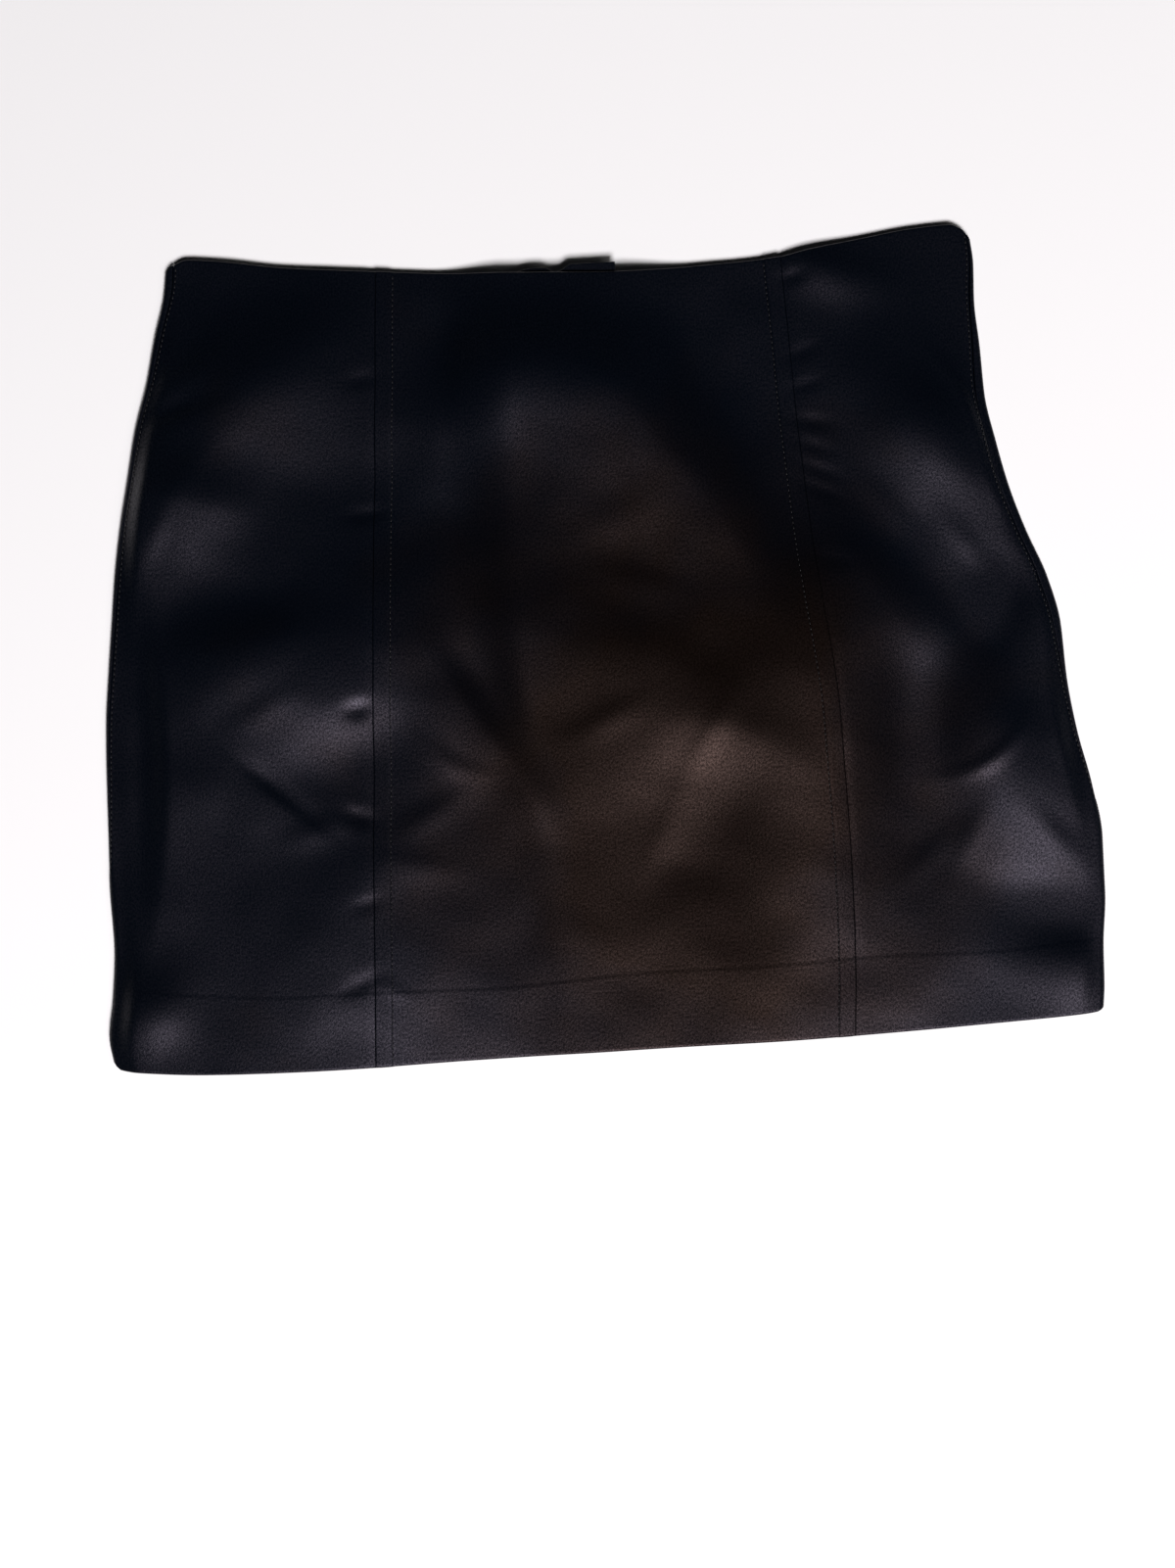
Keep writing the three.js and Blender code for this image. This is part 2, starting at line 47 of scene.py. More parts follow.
# Sections across the skirt as it lies, from the waist (0) to the hem (1), in millimetres.
SECTIONS = (
    # down, left, right, seam_left, seam_right, inset_left, inset_right
    (0.00, -186.5, 183.5, -90.0, 96.0, 4.2, 1.8),
    (0.03, -188.0, 184.5, -90.5, 96.5, 4.6, 1.9),
    (0.08, -193.0, 184.0, -91.5, 97.5, 4.2, 2.4),
    (0.14, -198.0, 185.5, -92.5, 98.5, 3.2, 3.7),
    (0.20, -204.5, 186.5, -94.0, 99.5, 2.6, 4.7),
    (0.26, -209.0, 190.5, -95.0, 101.0, 2.4, 5.4),
    (0.32, -213.5, 195.5, -96.5, 102.5, 2.3, 5.6),
    (0.38, -217.0, 202.5, -97.5, 104.0, 2.2, 5.2),
    (0.44, -219.5, 211.0, -98.5, 106.0, 2.0, 5.4),
    (0.50, -222.0, 216.0, -99.5, 108.5, 1.8, 4.4),
    (0.57, -224.5, 217.5, -101.0, 111.0, 1.6, 2.0),
    (0.64, -225.5, 221.0, -102.0, 112.0, 1.2, 1.0),
    (0.71, -226.0, 226.5, -103.5, 113.0, 0.5, 0.2),
    (0.78, -226.5, 230.0, -104.5, 113.5, -0.2, -0.4),
    (0.85, -226.0, 230.0, -105.5, 113.5, -0.7, -0.7),
    (0.92, -228.0, 228.0, -106.5, 113.0, -0.8, -0.8),
    (0.97, -230.5, 227.5, -107.5, 112.0, -0.8, -0.8),
    (1.00, -229.0, 226.5, -108.0, 111.5, -0.8, -0.8),
)
# The waist and hem edges, from the left outline (0) to the right outline (1).
WAIST_EDGE = (
    # across, y
    (0.0, 181.2), (0.012, 185.3), (0.027, 187.3), (0.06, 186.2), (0.14, 181.7),
    (0.22, 178.8), (0.3, 176.3), (0.38, 173.9), (0.46, 172.3), (0.57, 170.8),
    (0.65, 172.1), (0.76, 174.4), (0.8, 177.2), (0.86, 180.7), (0.93, 184.4),
    (0.975, 185.3), (0.99, 183.0), (1.0, 178.2),
)
HEM_EDGE = (
    # across, y
    (0.0, -179.5), (0.006, -182.8), (0.03, -184.6), (0.1, -186.7), (0.2, -187.3),
    (0.35, -186.2), (0.5, -185.3), (0.75, -184.4), (0.88, -182.6), (0.97, -180.6),
    (0.995, -179.5), (1.0, -177.8),
)


def through(rows, column):
    """A smooth curve through a table's rows that never swings past them."""
    at = np.array([row[0] for row in rows], float)
    value = np.array([row[column] for row in rows], float)
    step = np.diff(at)
    rise = np.diff(value) / step
    before = np.concatenate((rise[:1], rise))
    after = np.concatenate((rise, rise[-1:]))
    same = before * after > 0
    slope = np.where(same, 2 * before * after / np.where(same, before + after, 1), 0)

    def curve(x):
        x = np.clip(x, at[0], at[-1])
        i = np.clip(np.searchsorted(at, x, side="right") - 1, 0, len(rise) - 1)
        t = (x - at[i]) / step[i]
        start = (1 + 2 * t) * (1 - t) ** 2 * value[i] + t * (1 - t) ** 2 * step[i] * slope[i]
        end = t * t * (3 - 2 * t) * value[i + 1] + t * t * (t - 1) * step[i] * slope[i + 1]
        return start + end

    return curve


outline_left, outline_right = through(SECTIONS, 1), through(SECTIONS, 2)
princess_left, princess_right = through(SECTIONS, 3), through(SECTIONS, 4)
inset_left, inset_right = through(SECTIONS, 5), through(SECTIONS, 6)
waist_y, hem_y = through(WAIST_EDGE, 1), through(HEM_EDGE, 1)


def ease(start, end, x):
    """From 0 where x is at the start to 1 where it is at the end, gently at both."""
    t = np.clip((x - start) / (end - start), 0, 1)
    return t * t * (3 - 2 * t)


def skirt_y(x, down):
    """The y of a point x across and a share down of the way from the waist to the hem."""
    left, right = outline_left(down), outline_right(down)
    across = (x - left) / (right - left)
    return waist_y(across) * (1 - down) + hem_y(across) * down


# How the skirt lies: the lacing under it lifts the middle of the waist, and the front rests
# a little above the back everywhere else. Each pair says where a lift starts and where it
# is whole: beside is a distance from the opening's middle, and up is a y.
OPENING_X = -3.5
BACK_LIFT = 2.5
BACK_LIFT_BESIDE, BACK_LIFT_UP = (80, 25), (-40, 25)
FRONT_REST = 4.0  # outer face of the front above the surface it lies on
FRONT_OVER_LACING = 8.3
OVER_LACING_BESIDE, OVER_LACING_UP = (60, 26), (-110, 30)
SETTLED = 2.6  # the front's outer face where both lie down together
SETTLE_ROUND = 0.6  # how softly it comes down to that


def back_lift(x, y):
    """How far the lacing holds the backs off the surface."""
    beside = ease(*BACK_LIFT_BESIDE, abs(x - OPENING_X))
    return BACK_LIFT * beside * ease(*BACK_LIFT_UP, y)


# The folds of the front, each a soft ridge, or a trough where rise is below 0. x and y are
# its middle, turn the heading of its crest from +X in degrees, length its spread along the
# crest, left and right its spread to either side of it, bow how far its ends curl to the
# crest's left, and rise its height, in millimetres.
FRONT_FOLDS = (
    # x, y, turn, length, left, right, bow, rise
    # the right drag from the waist to the hip, and what it pulls up below it
    (55, 62, -57, 46, 16, 29, -4, 8.6),
    (100, -48, -8, 27, 50, 120, -4, 10.6),
    (64, -44, -22, 24, 11, 14, -3, 3.6),
    (158, 0, -40, 18, 10, 14, 0, 2.2),
    # the hollows at the right hip and under it
    (182, 6, 80, 22, 12, 12, 0, -3.6),
    (154, -50, 86, 40, 17, 14, 0, -4.8),
    (196, -128, -14, 22, 12, 14, 0, -2.8),
    # the left drag, and the swells at its end and under it
    (-48, 120, 64, 24, 12, 20, 0, 3.0),
    (-104, 6, 15, 47, 36, 24, -6, 9.2),
    (-160, 5, 8, 24, 12, 18, 0, 5.4),
    (-120, -24, 20, 18, 11, 13, 0, 2.6),
    (-54, -34, -58, 28, 7, 18, 0, 4.6),
    (-76, -62, -12, 26, 20, 30, -4, 2.2),
    # the left end rises from its side fold, and lifts at its corner
    (-194, -42, 88, 48, 7, 80, 3, 5.4),
    (-158, -210, 0, 46, 88, 40, 0, 6.4),
    (-212, -158, 8, 14, 12, 12, 0, 3.6),
    # puffs above the drags
    (-155, 121, 33, 40, 20, 27, -4, 9.6),
    (-184, 74, -14, 28, 14, 25, 0, 7.0),
    (159, 88, -50, 29, 16, 16, 0, 7.4),
    (212, 30, -60, 14, 8, 9, 0, 2.5),
    (116, 166, -20, 16, 8, 9, 0, 2.8),
    # the dome: its top, its left shoulder and its lower flank
    (2, 124, -14, 42, 20, 26, -10, 8.6),
    (-26, -36, -85, 84, 55, 12, 2, 5.8),
    (38, -4, -8, 34, 20, 26, -4, 4.6),
    (26, -52, -10, 26, 20, 18, -3, 2.2),
    (48, -20, -20, 16, 9, 12, 0, 1.8),
    (6, -151, 0, 46, 50, 120, 0, 4.0),
    # the swell on the right hip, and the right corner of the hem
    (175, -47, 4, 16, 22, 27, -3, 6.6),
    (212, -156, -5, 14, 9, 14, 0, 2.6),
    # the lower left lies low and rises to the right, with two slight swells above
    (-92, -126, 78, 56, 40, 60, 0, 5.6),
    (-150, -64, -14, 16, 8, 14, 0, 1.6),
    (-58, 34, 10, 18, 14, 26, 0, 1.5),
    # the hem lifts a little, and a shallow hollow lies high on the dome
    (6, -196, 0, 60, 34, 20, 0, 1.8),
    (30, 78, 0, 20, 20, 20, 0, -1.2),
    # what rises between the others: from the dome to the right side, then on the left
    (120, 6, -10, 22, 20, 40, 0, 1.8),
    (205, 0, -50, 12, 10, 12, 0, 1.4),
    (0, 82, -4, 16, 14, 22, 0, 1.2),
    (126, 24, -54, 26, 12, 85, 0, 4.0),
    (206, -64, -20, 17, 56, 30, 0, 4.6),
    (163, -137, -30, 19, 22, 32, 0, 2.2),
    (-126, -124, 42, 30, 28, 62, 0, 3.0),
    (-72, -24, -6, 16, 9, 16, 0, 1.8),
)


def fold_height(table, x, y):
    """What a table's folds add together to the height."""
    height = np.zeros_like(x)
    for fold_x, fold_y, turn, length, left, right, bow, rise in table:
        heading = math.radians(turn)
        along = ((x - fold_x) * math.cos(heading) + (y - fold_y) * math.sin(heading)) / length
        aside = (y - fold_y) * math.cos(heading) - (x - fold_x) * math.sin(heading)
        aside = aside - bow * along**2
        aside = aside / np.where(aside > 0, left, right)
        height += rise * np.exp(-(along**2 + aside**2) / 2)
    return height


# Small puckers beside the princess seams, and creases where the cloth has been handled.
SEAM_PUCKERS = (
    # x, y, turn, length, left, right, bow, rise
    (101, 165.5, 14, 4, 1.6, 2.4, 0, -0.7),
    (104, 131, 20, 5, 1.8, 2.4, 0, -0.5),
    (105, 115.5, 15, 5, 1.6, 2.2, 0, -0.5),
    (107, 98.5, -10, 6, 1.8, 2.6, 0, -0.6),
    (107, 87, -20, 6, 1.8, 2.4, 0, -0.5),
    (109, 76, -24, 6, 1.6, 2.4, 0, -0.5),
    (109, 67, -26, 7, 1.8, 2.6, 0, -0.5),
    (113, 34, -15, 5, 2.0, 2.6, 0, -0.4),
    (-99, 128, 10, 5, 2.0, 2.6, 0, -0.5),
    (-100, 66, 4, 6, 2.0, 2.4, 0, -0.7),
    (-108, -23, 12, 4, 2.2, 3.0, 0, -1.1),
    (-110, -72, -20, 5, 2.4, 3.2, 0, -1.2),
    (-108, -112, 14, 5, 2.0, 2.6, 0, -0.5),
    (-112, -148, 24, 7, 2.4, 2.6, 0, -0.5),
    (-98, -152, -30, 6, 2.4, 2.6, 0, 0.3),
)
CREASES = (
    # x, y, turn, length, left, right, bow, rise
    (-144, -60, -41, 16, 4, 2.2, 0, -1.2),
    (-184, 118, 16, 14, 4, 3, 0, -1.2),
    (-178, 133, 30, 10, 4, 4, 0, 0.6),
    (182, -60, 35, 14, 2.4, 3, 2, 0.9),
    (52, -43, 57, 16, 4, 5, 0, 0.6),
    (28, -88, 62, 18, 4, 6, 0, 0.5),
    (-78, -74, 28, 12, 4, 5, 0, 0.7),
    (-84, -96, -12, 14, 4, 6, 0, 0.6),
    (-68, -50, -36, 12, 3, 4, 2, 0.6),
    (-128, -78, 18, 12, 4, 5, 0, 0.7),
    (-150, -22, 26, 12, 4, 5, 0, 0.6),
    (6, -34, 24, 14, 4, 5, 0, 0.6),
    (30, -70, -12, 14, 5, 8, 0, 0.3),
    (66, -98, -38, 12, 5, 7, 0, 0.3),
    (8, 54, 22, 18, 6, 7, 0, 0.5),
    (26, 26, -18, 14, 5, 7, 0, 0.6),
    (150, -104, 40, 12, 4, 5, 0, 0.7),
    (170, -96, 62, 12, 4, 4, 0, 0.7),
    (206, -96, -50, 12, 4, 4, 0, 0.6),
    (136, 60, -48, 14, 4, 5, 0, 0.5),
    (176, 36, -52, 14, 4, 4, 0, 0.6),
    (172, 113, -58, 10, 2.2, 3, 0, 0.5),
    (184, 88, -66, 14, 2.2, 3, 0, 0.6),
    (192, 60, -76, 14, 2.0, 3, 0, 0.5),
    (199, 28, -70, 14, 2.0, 3, 0, 0.5),
    (213, -20, -80, 22, 2.0, 3, 0, 0.4),
    (-196, 62, 62, 12, 4, 4, 0, 0.6),
    (-176, 92, 50, 14, 5, 5, 0, 0.5),
)
# The cloth is nowhere quite flat between its folds: low waves, each bent by the next.
RIPPLES = (
    # wave, turn, phase, height
    (77, 12, 0.3, 0.20),
    (58, 68, 1.9, 0.15),
    (43, -38, 4.1, 0.09),
    (31, 104, 2.7, 0.055),
    (22, 31, 5.2, 0.03),
)
RIPPLE_BEND, RIPPLE_BEND_WAVE = 1.3, 1.8  # how much each bends, and over how many waves
HEM_DEPTH = 35.0
HEM_RISE = 0.08  # the turned up hem under the cloth lifts it
HEM_RISE_FROM, HEM_RISE_TO = -0.8, 1.2  # across the hem's upper edge
HEM_PULL = 0.03  # and its blind stitching draws the cloth in along the hem's upper edge
HEM_PULL_HALF = 0.9  # its spread to either side of that edge


def ripple_height(x, y):
    height = np.zeros_like(x)
    for wave, turn, phase, rise in RIPPLES:
        heading = math.radians(turn)
        along = x * math.cos(heading) + y * math.sin(heading)
        aside = y * math.cos(heading) - x * math.sin(heading)
        bend = math.tau * aside / (RIPPLE_BEND_WAVE * wave) + 2 * phase
        bent = RIPPLE_BEND * np.sin(bend)
        height += rise * np.sin(math.tau * along / wave + phase + bent)
    return height


def front_height(x, y):
    """The outer face of the front, clear of its seams and side folds."""
    over_lacing = ease(*OVER_LACING_BESIDE, abs(x - OPENING_X)) * ease(*OVER_LACING_UP, y)
    rest = FRONT_REST + (FRONT_OVER_LACING - FRONT_REST) * over_lacing
    folds = fold_height(FRONT_FOLDS, x, y)
    small = fold_height(CREASES, x, y) + fold_height(SEAM_PUCKERS, x, y)
    height = rest + folds + small + ripple_height(x, y)
    # Where it sinks to the back it settles on it softly.
    bed = back_lift(x, y) + SETTLED
    return bed + SETTLE_ROUND * np.logaddexp(0, (height - bed) / SETTLE_ROUND)


def hem_height(x, from_hem):
    """What the turned up hem adds to the outer face, at a distance up from the hem edge."""
    # Its upper edge wanders a little, and the stitches draw it in unevenly.
    edge = HEM_DEPTH + 1.4 * np.sin(x / 47) + 0.7 * np.sin(x / 18 + 1) - from_hem
    drawn = 0.7 + 0.3 * np.sin(x / 5.3) * np.sin(x / 17)
    pull = HEM_PULL * drawn * np.exp(-((edge / HEM_PULL_HALF) ** 2))
    return HEM_RISE * ease(HEM_RISE_FROM, HEM_RISE_TO, edge) - pull


CLOTH = 0.7  # thickness of a panel's wall
ON_SURFACE = 0.02  # the lowest that any of the cloth lies
EDGE_ROLL = 0.9  # how far in a sewn or turned edge starts to roll over


def rolled(distance, radius=EDGE_ROLL):
    """How far a rolled edge has dropped, at a distance in from it."""
    t = np.clip(1 - distance / radius, 0, 1)
    return radius * (1 - np.sqrt(1 - t * t))


EDGE_PLACES = np.array((0.0, 0.12, 0.3, 0.55, 0.9, 1.6))  # in from an edge that rolls
EDGE_CLEAR = 2.4  # where the even places start


def close_in(start, end, step):
    """Places from start to end a step apart, closer together beside both."""
    low, high = start + EDGE_CLEAR, end - EDGE_CLEAR
    count = max(2, round((end - start - 2 * EDGE_CLEAR) / step))
    middle = np.linspace(low, high, count)
    return np.concatenate((start + EDGE_PLACES, middle, end - EDGE_PLACES[::-1]))


# Rows down every panel, as shares of the way from the waist to the hem, closer together
# at both edges and along the top of the hem.
LENGTH = 365.0
ROW_STEP = 1.9
hem_top = LENGTH - HEM_DEPTH
hem_line = hem_top + np.linspace(-3.2, 3.2, 12)
evenly = close_in(0, LENGTH, ROW_STEP)
evenly = evenly[abs(evenly - hem_top) > 4]
panel_rows = np.sort(np.concatenate((evenly, hem_line))) / LENGTH


def choose(piece):
    """Selects one piece alone, for the operators that follow."""
    bpy.ops.object.select_all(action="DESELECT")
    piece.select_set(True)
    bpy.context.view_layer.objects.active = piece


def laid_piece(name, mesh):
    """A piece of a mesh made in its place."""
    piece = bpy.data.objects.new(name, mesh)
    bpy.context.scene.collection.objects.link(piece)
    choose(piece)
    return piece


def cloth_panel(name, x, y, z, flip, thickness=CLOTH):
    """A panel from its grids of places, row by row, walled inwards from its outer face.

    The weave follows x and y. The faces are flipped where the columns run from right to
    left and the outer face points up, or from left to right and it points down.
    """
    rows, columns = x.shape
    places = np.stack((x, y, z), axis=-1).reshape(-1, 3) * MM
    at = np.arange(rows * columns).reshape(rows, columns)
    corners = [at[:-1, :-1], at[1:, :-1], at[1:, 1:], at[:-1, 1:]]
    if flip:
        corners.reverse()
    faces = np.stack(corners, axis=-1).reshape(-1, 4)
    mesh = bpy.data.meshes.new(name)
    mesh.from_pydata(places.tolist(), [], faces.tolist())
    weave = mesh.uv_layers.new(name="thread")
    flat = np.stack((x, y), axis=-1).reshape(-1, 2) * MM
    weave.data.foreach_set("uv", flat[faces.reshape(-1)].astype(np.float32).reshape(-1))
    panel = laid_piece(name, mesh)
    wall = panel.modifiers.new("wall", "SOLIDIFY")
    wall.thickness = thickness * MM
    wall.offset = -1
    wall.use_even_offset = False
    bpy.ops.object.modifier_apply(modifier=wall.name)
    for corner in panel.data.vertices:
        corner.co.z = max(corner.co.z, ON_SURFACE * MM)
    bpy.ops.object.shade_smooth()
    return panel


def set_values(node, values):
    """A node's own values, each under its socket's name or number."""
    for socket, value in values.items():
        node.inputs[socket].default_value = value


def new_finish(name, values):
    """A new material with its shader's values, and what adds to it and joins its sockets."""
    material = bpy.data.materials.new(name)
    material.use_nodes = True
    nodes = material.node_tree.nodes
    shader = nodes["Principled BSDF"]
    set_values(shader, values)

    def add(kind, values=None):
        node = nodes.new(kind)
        set_values(node, values or {})
        return node

    def join(node, output, into, socket):
        material.node_tree.links.new(node.outputs[output], into.inputs[socket])

    return material, shader, add, join


SATIN_ROUGHNESS = 0.39
HANDLED = 0.05  # how much rougher or smoother it is in places
SATIN_SHINE = 0.184
GLINT_LOW, GLINT_HIGH = 0.4, 1.6  # shares of that shine from float to float
# Painted reflection: cool and warm tints of the black and of its shine, for reflected cool
# light at the sides and warm light low in the middle.
SATIN_COOL = (0.0005, 0.0015, 0.0034, 1)
SATIN_WARM = (0.0018, 0.0011, 0.0008, 1)
SHINE_COOL = (0.90, 0.81, 1.0, 1)
SHINE_WARM = (1.0, 0.67, 0.59, 1)
# Where the painted warm reflection lies: a ball of it, shifted and then drawn in by these.
WARM_REFLECTION_PLACE = {"Location": (-0.20, 0.31, 0), "Scale": (6.0, 4.6, 0)}
WEAVE = (
    # direction, scale, distortion: the warp's bands, then the weft's
    ("X", 2600, 0.4),
    ("Y", 900, 0.8),
)
WEFT_SHARE = 0.35
SLUB_SCALE = (1200, 850, 1)


def satin_material():
    """Black satin: long warp floats over a fine weft, with a soft shine."""
    material, shader, add, join = new_finish("black_satin", {})

    # Painted reflection: the black and its shine lean from a cool reflection at the sides to a
    # warm one low in the middle.
    place = add("ShaderNodeTexCoord")
    spread = add("ShaderNodeMapping", WARM_REFLECTION_PLACE)
    join(place, "Object", spread, "Vector")
    middle = add("ShaderNodeTexGradient")
    middle.gradient_type = "SPHERICAL"
    join(spread, "Vector", middle, "Vector")
    drift = add("ShaderNodeTexNoise", {"Scale": 16, "Detail": 3})
    join(place, "Object", drift, "Vector")
    lean = add("ShaderNodeMath", {1: 0.7})
    lean.operation = "MULTIPLY_ADD"
    join(drift, "Fac", lean, 0)
    join(middle, "Fac", lean, 2)
    warm_reflection = add("ShaderNodeMapRange", {"From Min": 0.42, "From Max": 1.0})
    join(lean, "Value", warm_reflection, "Value")
    for socket, cool, warm in (
        ("Base Color", SATIN_COOL, SATIN_WARM),
        ("Specular Tint", SHINE_COOL, SHINE_WARM),
    ):
        tint = add("ShaderNodeMix")
        tint.data_type = "RGBA"
        set_values(tint, {"A": cool, "B": warm})
        join(warm_reflection, "Result", tint, "Factor")
        join(tint, "Result", shader, socket)

    # Warp and weft, read along the cloth itself.
    thread = add("ShaderNodeUVMap")
    thread.uv_map = "thread"
    woven = add("ShaderNodeMix")
    woven.data_type = "FLOAT"
    set_values(woven, {"Factor": WEFT_SHARE})
    for (direction, scale, distortion), into in zip(WEAVE, ("A", "B")):
        bands = add("ShaderNodeTexWave", {"Scale": scale, "Distortion": distortion})
        bands.inputs["Detail"].default_value = 2
        bands.bands_direction = direction
        join(thread, "UV", bands, "Vector")
        join(bands, "Fac", woven, into)
    slub = add("ShaderNodeMapping", {"Scale": SLUB_SCALE})
    join(thread, "UV", slub, "Vector")
    grain = add("ShaderNodeTexNoise", {"Scale": 1.0, "Detail": 3, "Roughness": 0.6})
    join(slub, "Vector", grain, "Vector")
    fine = add("ShaderNodeBump", {"Strength": 0.35, "Distance": 0.03 * MM})
    join(woven, "Result", fine, "Height")
    coarse = add("ShaderNodeBump", {"Strength": 0.8, "Distance": 0.12 * MM})
    join(grain, "Fac", coarse, "Height")
    join(fine, "Normal", coarse, "Normal")
    join(coarse, "Normal", shader, "Normal")

    # Single floats catch the light more than their neighbours.
    low, high = SATIN_SHINE * GLINT_LOW, SATIN_SHINE * GLINT_HIGH
    glint = add("ShaderNodeMapRange", {"From Min": 0.36, "From Max": 0.64})
    set_values(glint, {"To Min": low, "To Max": high})
    join(grain, "Fac", glint, "Value")
    join(glint, "Result", shader, "Specular IOR Level")

    # The floats lie a little rougher where the cloth has been handled.
    smooth, rough = SATIN_ROUGHNESS - HANDLED, SATIN_ROUGHNESS + HANDLED
    handled = add("ShaderNodeMapRange", {"To Min": smooth, "To Max": rough})
    join(drift, "Fac", handled, "Value")
    join(handled, "Result", shader, "Roughness")
    return material


satin = satin_material()


def dress(piece, material, slot, *nodes):
    """The finish of a piece, and the solids that it stands for."""
    piece.data.materials.append(material)
    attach(piece, "root")
    if nodes:
        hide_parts(*nodes)


SEAM_GAP = 0.14
STRIP = 7.8  # from a princess seam to its topstitching
STRIP_RISE = 0.5
STITCH_DIP, STITCH_DIP_HALF = 0.25, 0.7
PRINCESS_ROLL = 0.32
STRIP_COLUMNS = np.array(
    (0, 0.1, 0.25, 0.55, 1.0, 1.9, 3.2, 4.6, 5.8, 6.6, 7.1, 7.45, 7.8, 8.15, 8.5, 9.0)
)
STRIP_CLEAR = 10  # where the even columns start
CENTRE_COLUMNS = 112


def strip_height(inset):
    """The allowances under a seam's strip lift it, and the topstitching pulls it down."""
    proud = STRIP_RISE * ease(STRIP + 1.2, STRIP - 0.8, inset)
    return proud - STITCH_DIP * np.exp(-(((inset - STRIP) / STITCH_DIP_HALF) ** 2))


def from_ends(down):
    """How far in from the nearer of the waist edge and the hem edge."""
    return np.minimum(down, 1 - down) * LENGTH


def centre_height(x, y, down, inset):
    """The outer face of the front centre, at a distance in from the nearer seam."""
    z = front_height(x, y) + hem_height(x, (1 - down) * LENGTH) + strip_height(inset)
    return z - rolled(inset, PRINCESS_ROLL) - rolled(from_ends(down))


def front_centre():
    down = panel_rows[:, None]
    low, high = princess_left(down) + SEAM_GAP / 2, princess_right(down) - SEAM_GAP / 2
    inner_low, inner_high = low + STRIP_CLEAR, high - STRIP_CLEAR
    middle = np.linspace(0, 1, CENTRE_COLUMNS)[1:-1]
    between = inner_low + (inner_high - inner_low) * middle
    x = np.concatenate((low + STRIP_COLUMNS, between, high - STRIP_COLUMNS[::-1]), axis=1)
    y = skirt_y(x, down)
    z = centre_height(x, y, down, np.minimum(x - low, high - x))
    return cloth_panel("front_centre_cloth", x, y, z, flip=False)


front_centre_cloth = front_centre()
dress(front_centre_cloth, satin, "satin", "front_centre")

# ---------------------------------------------------------------------------------------
# The front sides: one each side, from the princess seam to the side seam, in the same
# satin. The side seams lie a few millimetres in on the front, so each starts on the rise of
# its side fold, and its allowance goes under the princess seam's strip.
# ---------------------------------------------------------------------------------------

FOLD_RADIUS = 1.9  # of the fold at each side, as seen from above
SIDE_SEAM_GAP = 0.35
QUARTER = FOLD_RADIUS * math.pi / 2
SOLID_REACH = 0.3  # how far the solids' outline stands outside the sections'
SIDE_SETTLE = 12  # how far in from its side fold the front has its full height
SIDE_WIDTH = 120  # about, from seam to seam
SIDE_COLUMNS = close_in(0, SIDE_WIDTH, 1.7)
SEAM_SINK, SEAM_SINK_HALF = 0.35, 2.2  # how the side panel sinks towards a princess seam
SIDE_SEAM_ROLL, SIDE_SEAM_DROP = 0.5, 0.6
ALLOWANCE_CLOTH = 0.4
ALLOWANCE_COLUMNS = np.array((-2.2, -1.0, -0.2, 0.4, 1.0, 1.6, 2.4, 4.4, 6.4, 7.2, 7.8, 8.4))
ALLOWANCE_DROP = 1.1  # its lower face under the front's outer face, beside the seam
ALLOWANCE_UP = 0.37  # how much higher it lies under the strip
ALLOWANCE_END = 0.25  # how far it stops short of the waist and the hem


def along_cloth(inset):
    """Along the cloth from a side fold's outermost line, for a distance in from it."""
    depth = np.abs(inset)
    turn = np.arccos(1 - np.minimum(depth, FOLD_RADIUS) / FOLD_RADIUS)
    turned = QUARTER * 2 * turn / math.pi
    flat = QUARTER + depth - FOLD_RADIUS
    return np.sign(inset) * np.where(depth < FOLD_RADIUS, turned, flat)


def princess_x(side, down):
    return princess_right(down) if side > 0 else princess_left(down)


def side_outline(side, down):
    if side > 0:
        return outline_right(down) + SOLID_REACH
    return outline_left(down) - SOLID_REACH


def side_inset(side, down):
    return inset_right(down) if side > 0 else inset_left(down)


def tube_place(side, along, down, under_height):
    """A place on the skirt's outer face, along the cloth from a side's outermost line."""
    angle = math.pi / 2 * np.clip(along / QUARTER, -1, 1)
    flat = FOLD_RADIUS + np.abs(along) - QUARTER
    depth = np.where(np.abs(along) < QUARTER, FOLD_RADIUS * (1 - np.cos(angle)), flat)
    x = side_outline(side, down) - side * depth
    y = skirt_y(x, down)
    settle = ease(0, SIDE_SETTLE, depth)
    over = front_height(x, y) * settle + FRONT_REST * (1 - settle)
    under = under_height(x, y)
    middle = (over + under) / 2
    return x, y, middle + np.sin(angle) * (over - middle)


def floor_height(x, y):
    return back_lift(x, y) + ON_SURFACE


def front_side(side):
    down = panel_rows[:, None]
    name = "front_side_right_cloth" if side > 0 else "front_side_left_cloth"
    start = along_cloth(side_inset(side, down)) + SIDE_SEAM_GAP / 2
    width = np.abs(side_outline(side, down) - princess_x(side, down))
    end = width - FOLD_RADIUS + QUARTER - SEAM_GAP / 2
    along = start + (end - start) * SIDE_COLUMNS / SIDE_WIDTH
    x, y, z = tube_place(side, along, down, floor_height)
    from_seam = end - along
    z = z + hem_height(x, (1 - down) * LENGTH) * ease(2, 10, along - start)
    sink = SEAM_SINK * np.exp(-((from_seam / SEAM_SINK_HALF) ** 2))
    z = z - rolled(from_seam, PRINCESS_ROLL) - sink
    z = z - rolled(along - start, SIDE_SEAM_ROLL) * SIDE_SEAM_DROP
    z = z - rolled(from_ends(down))
    return cloth_panel(name, x, y, z, flip=side > 0)


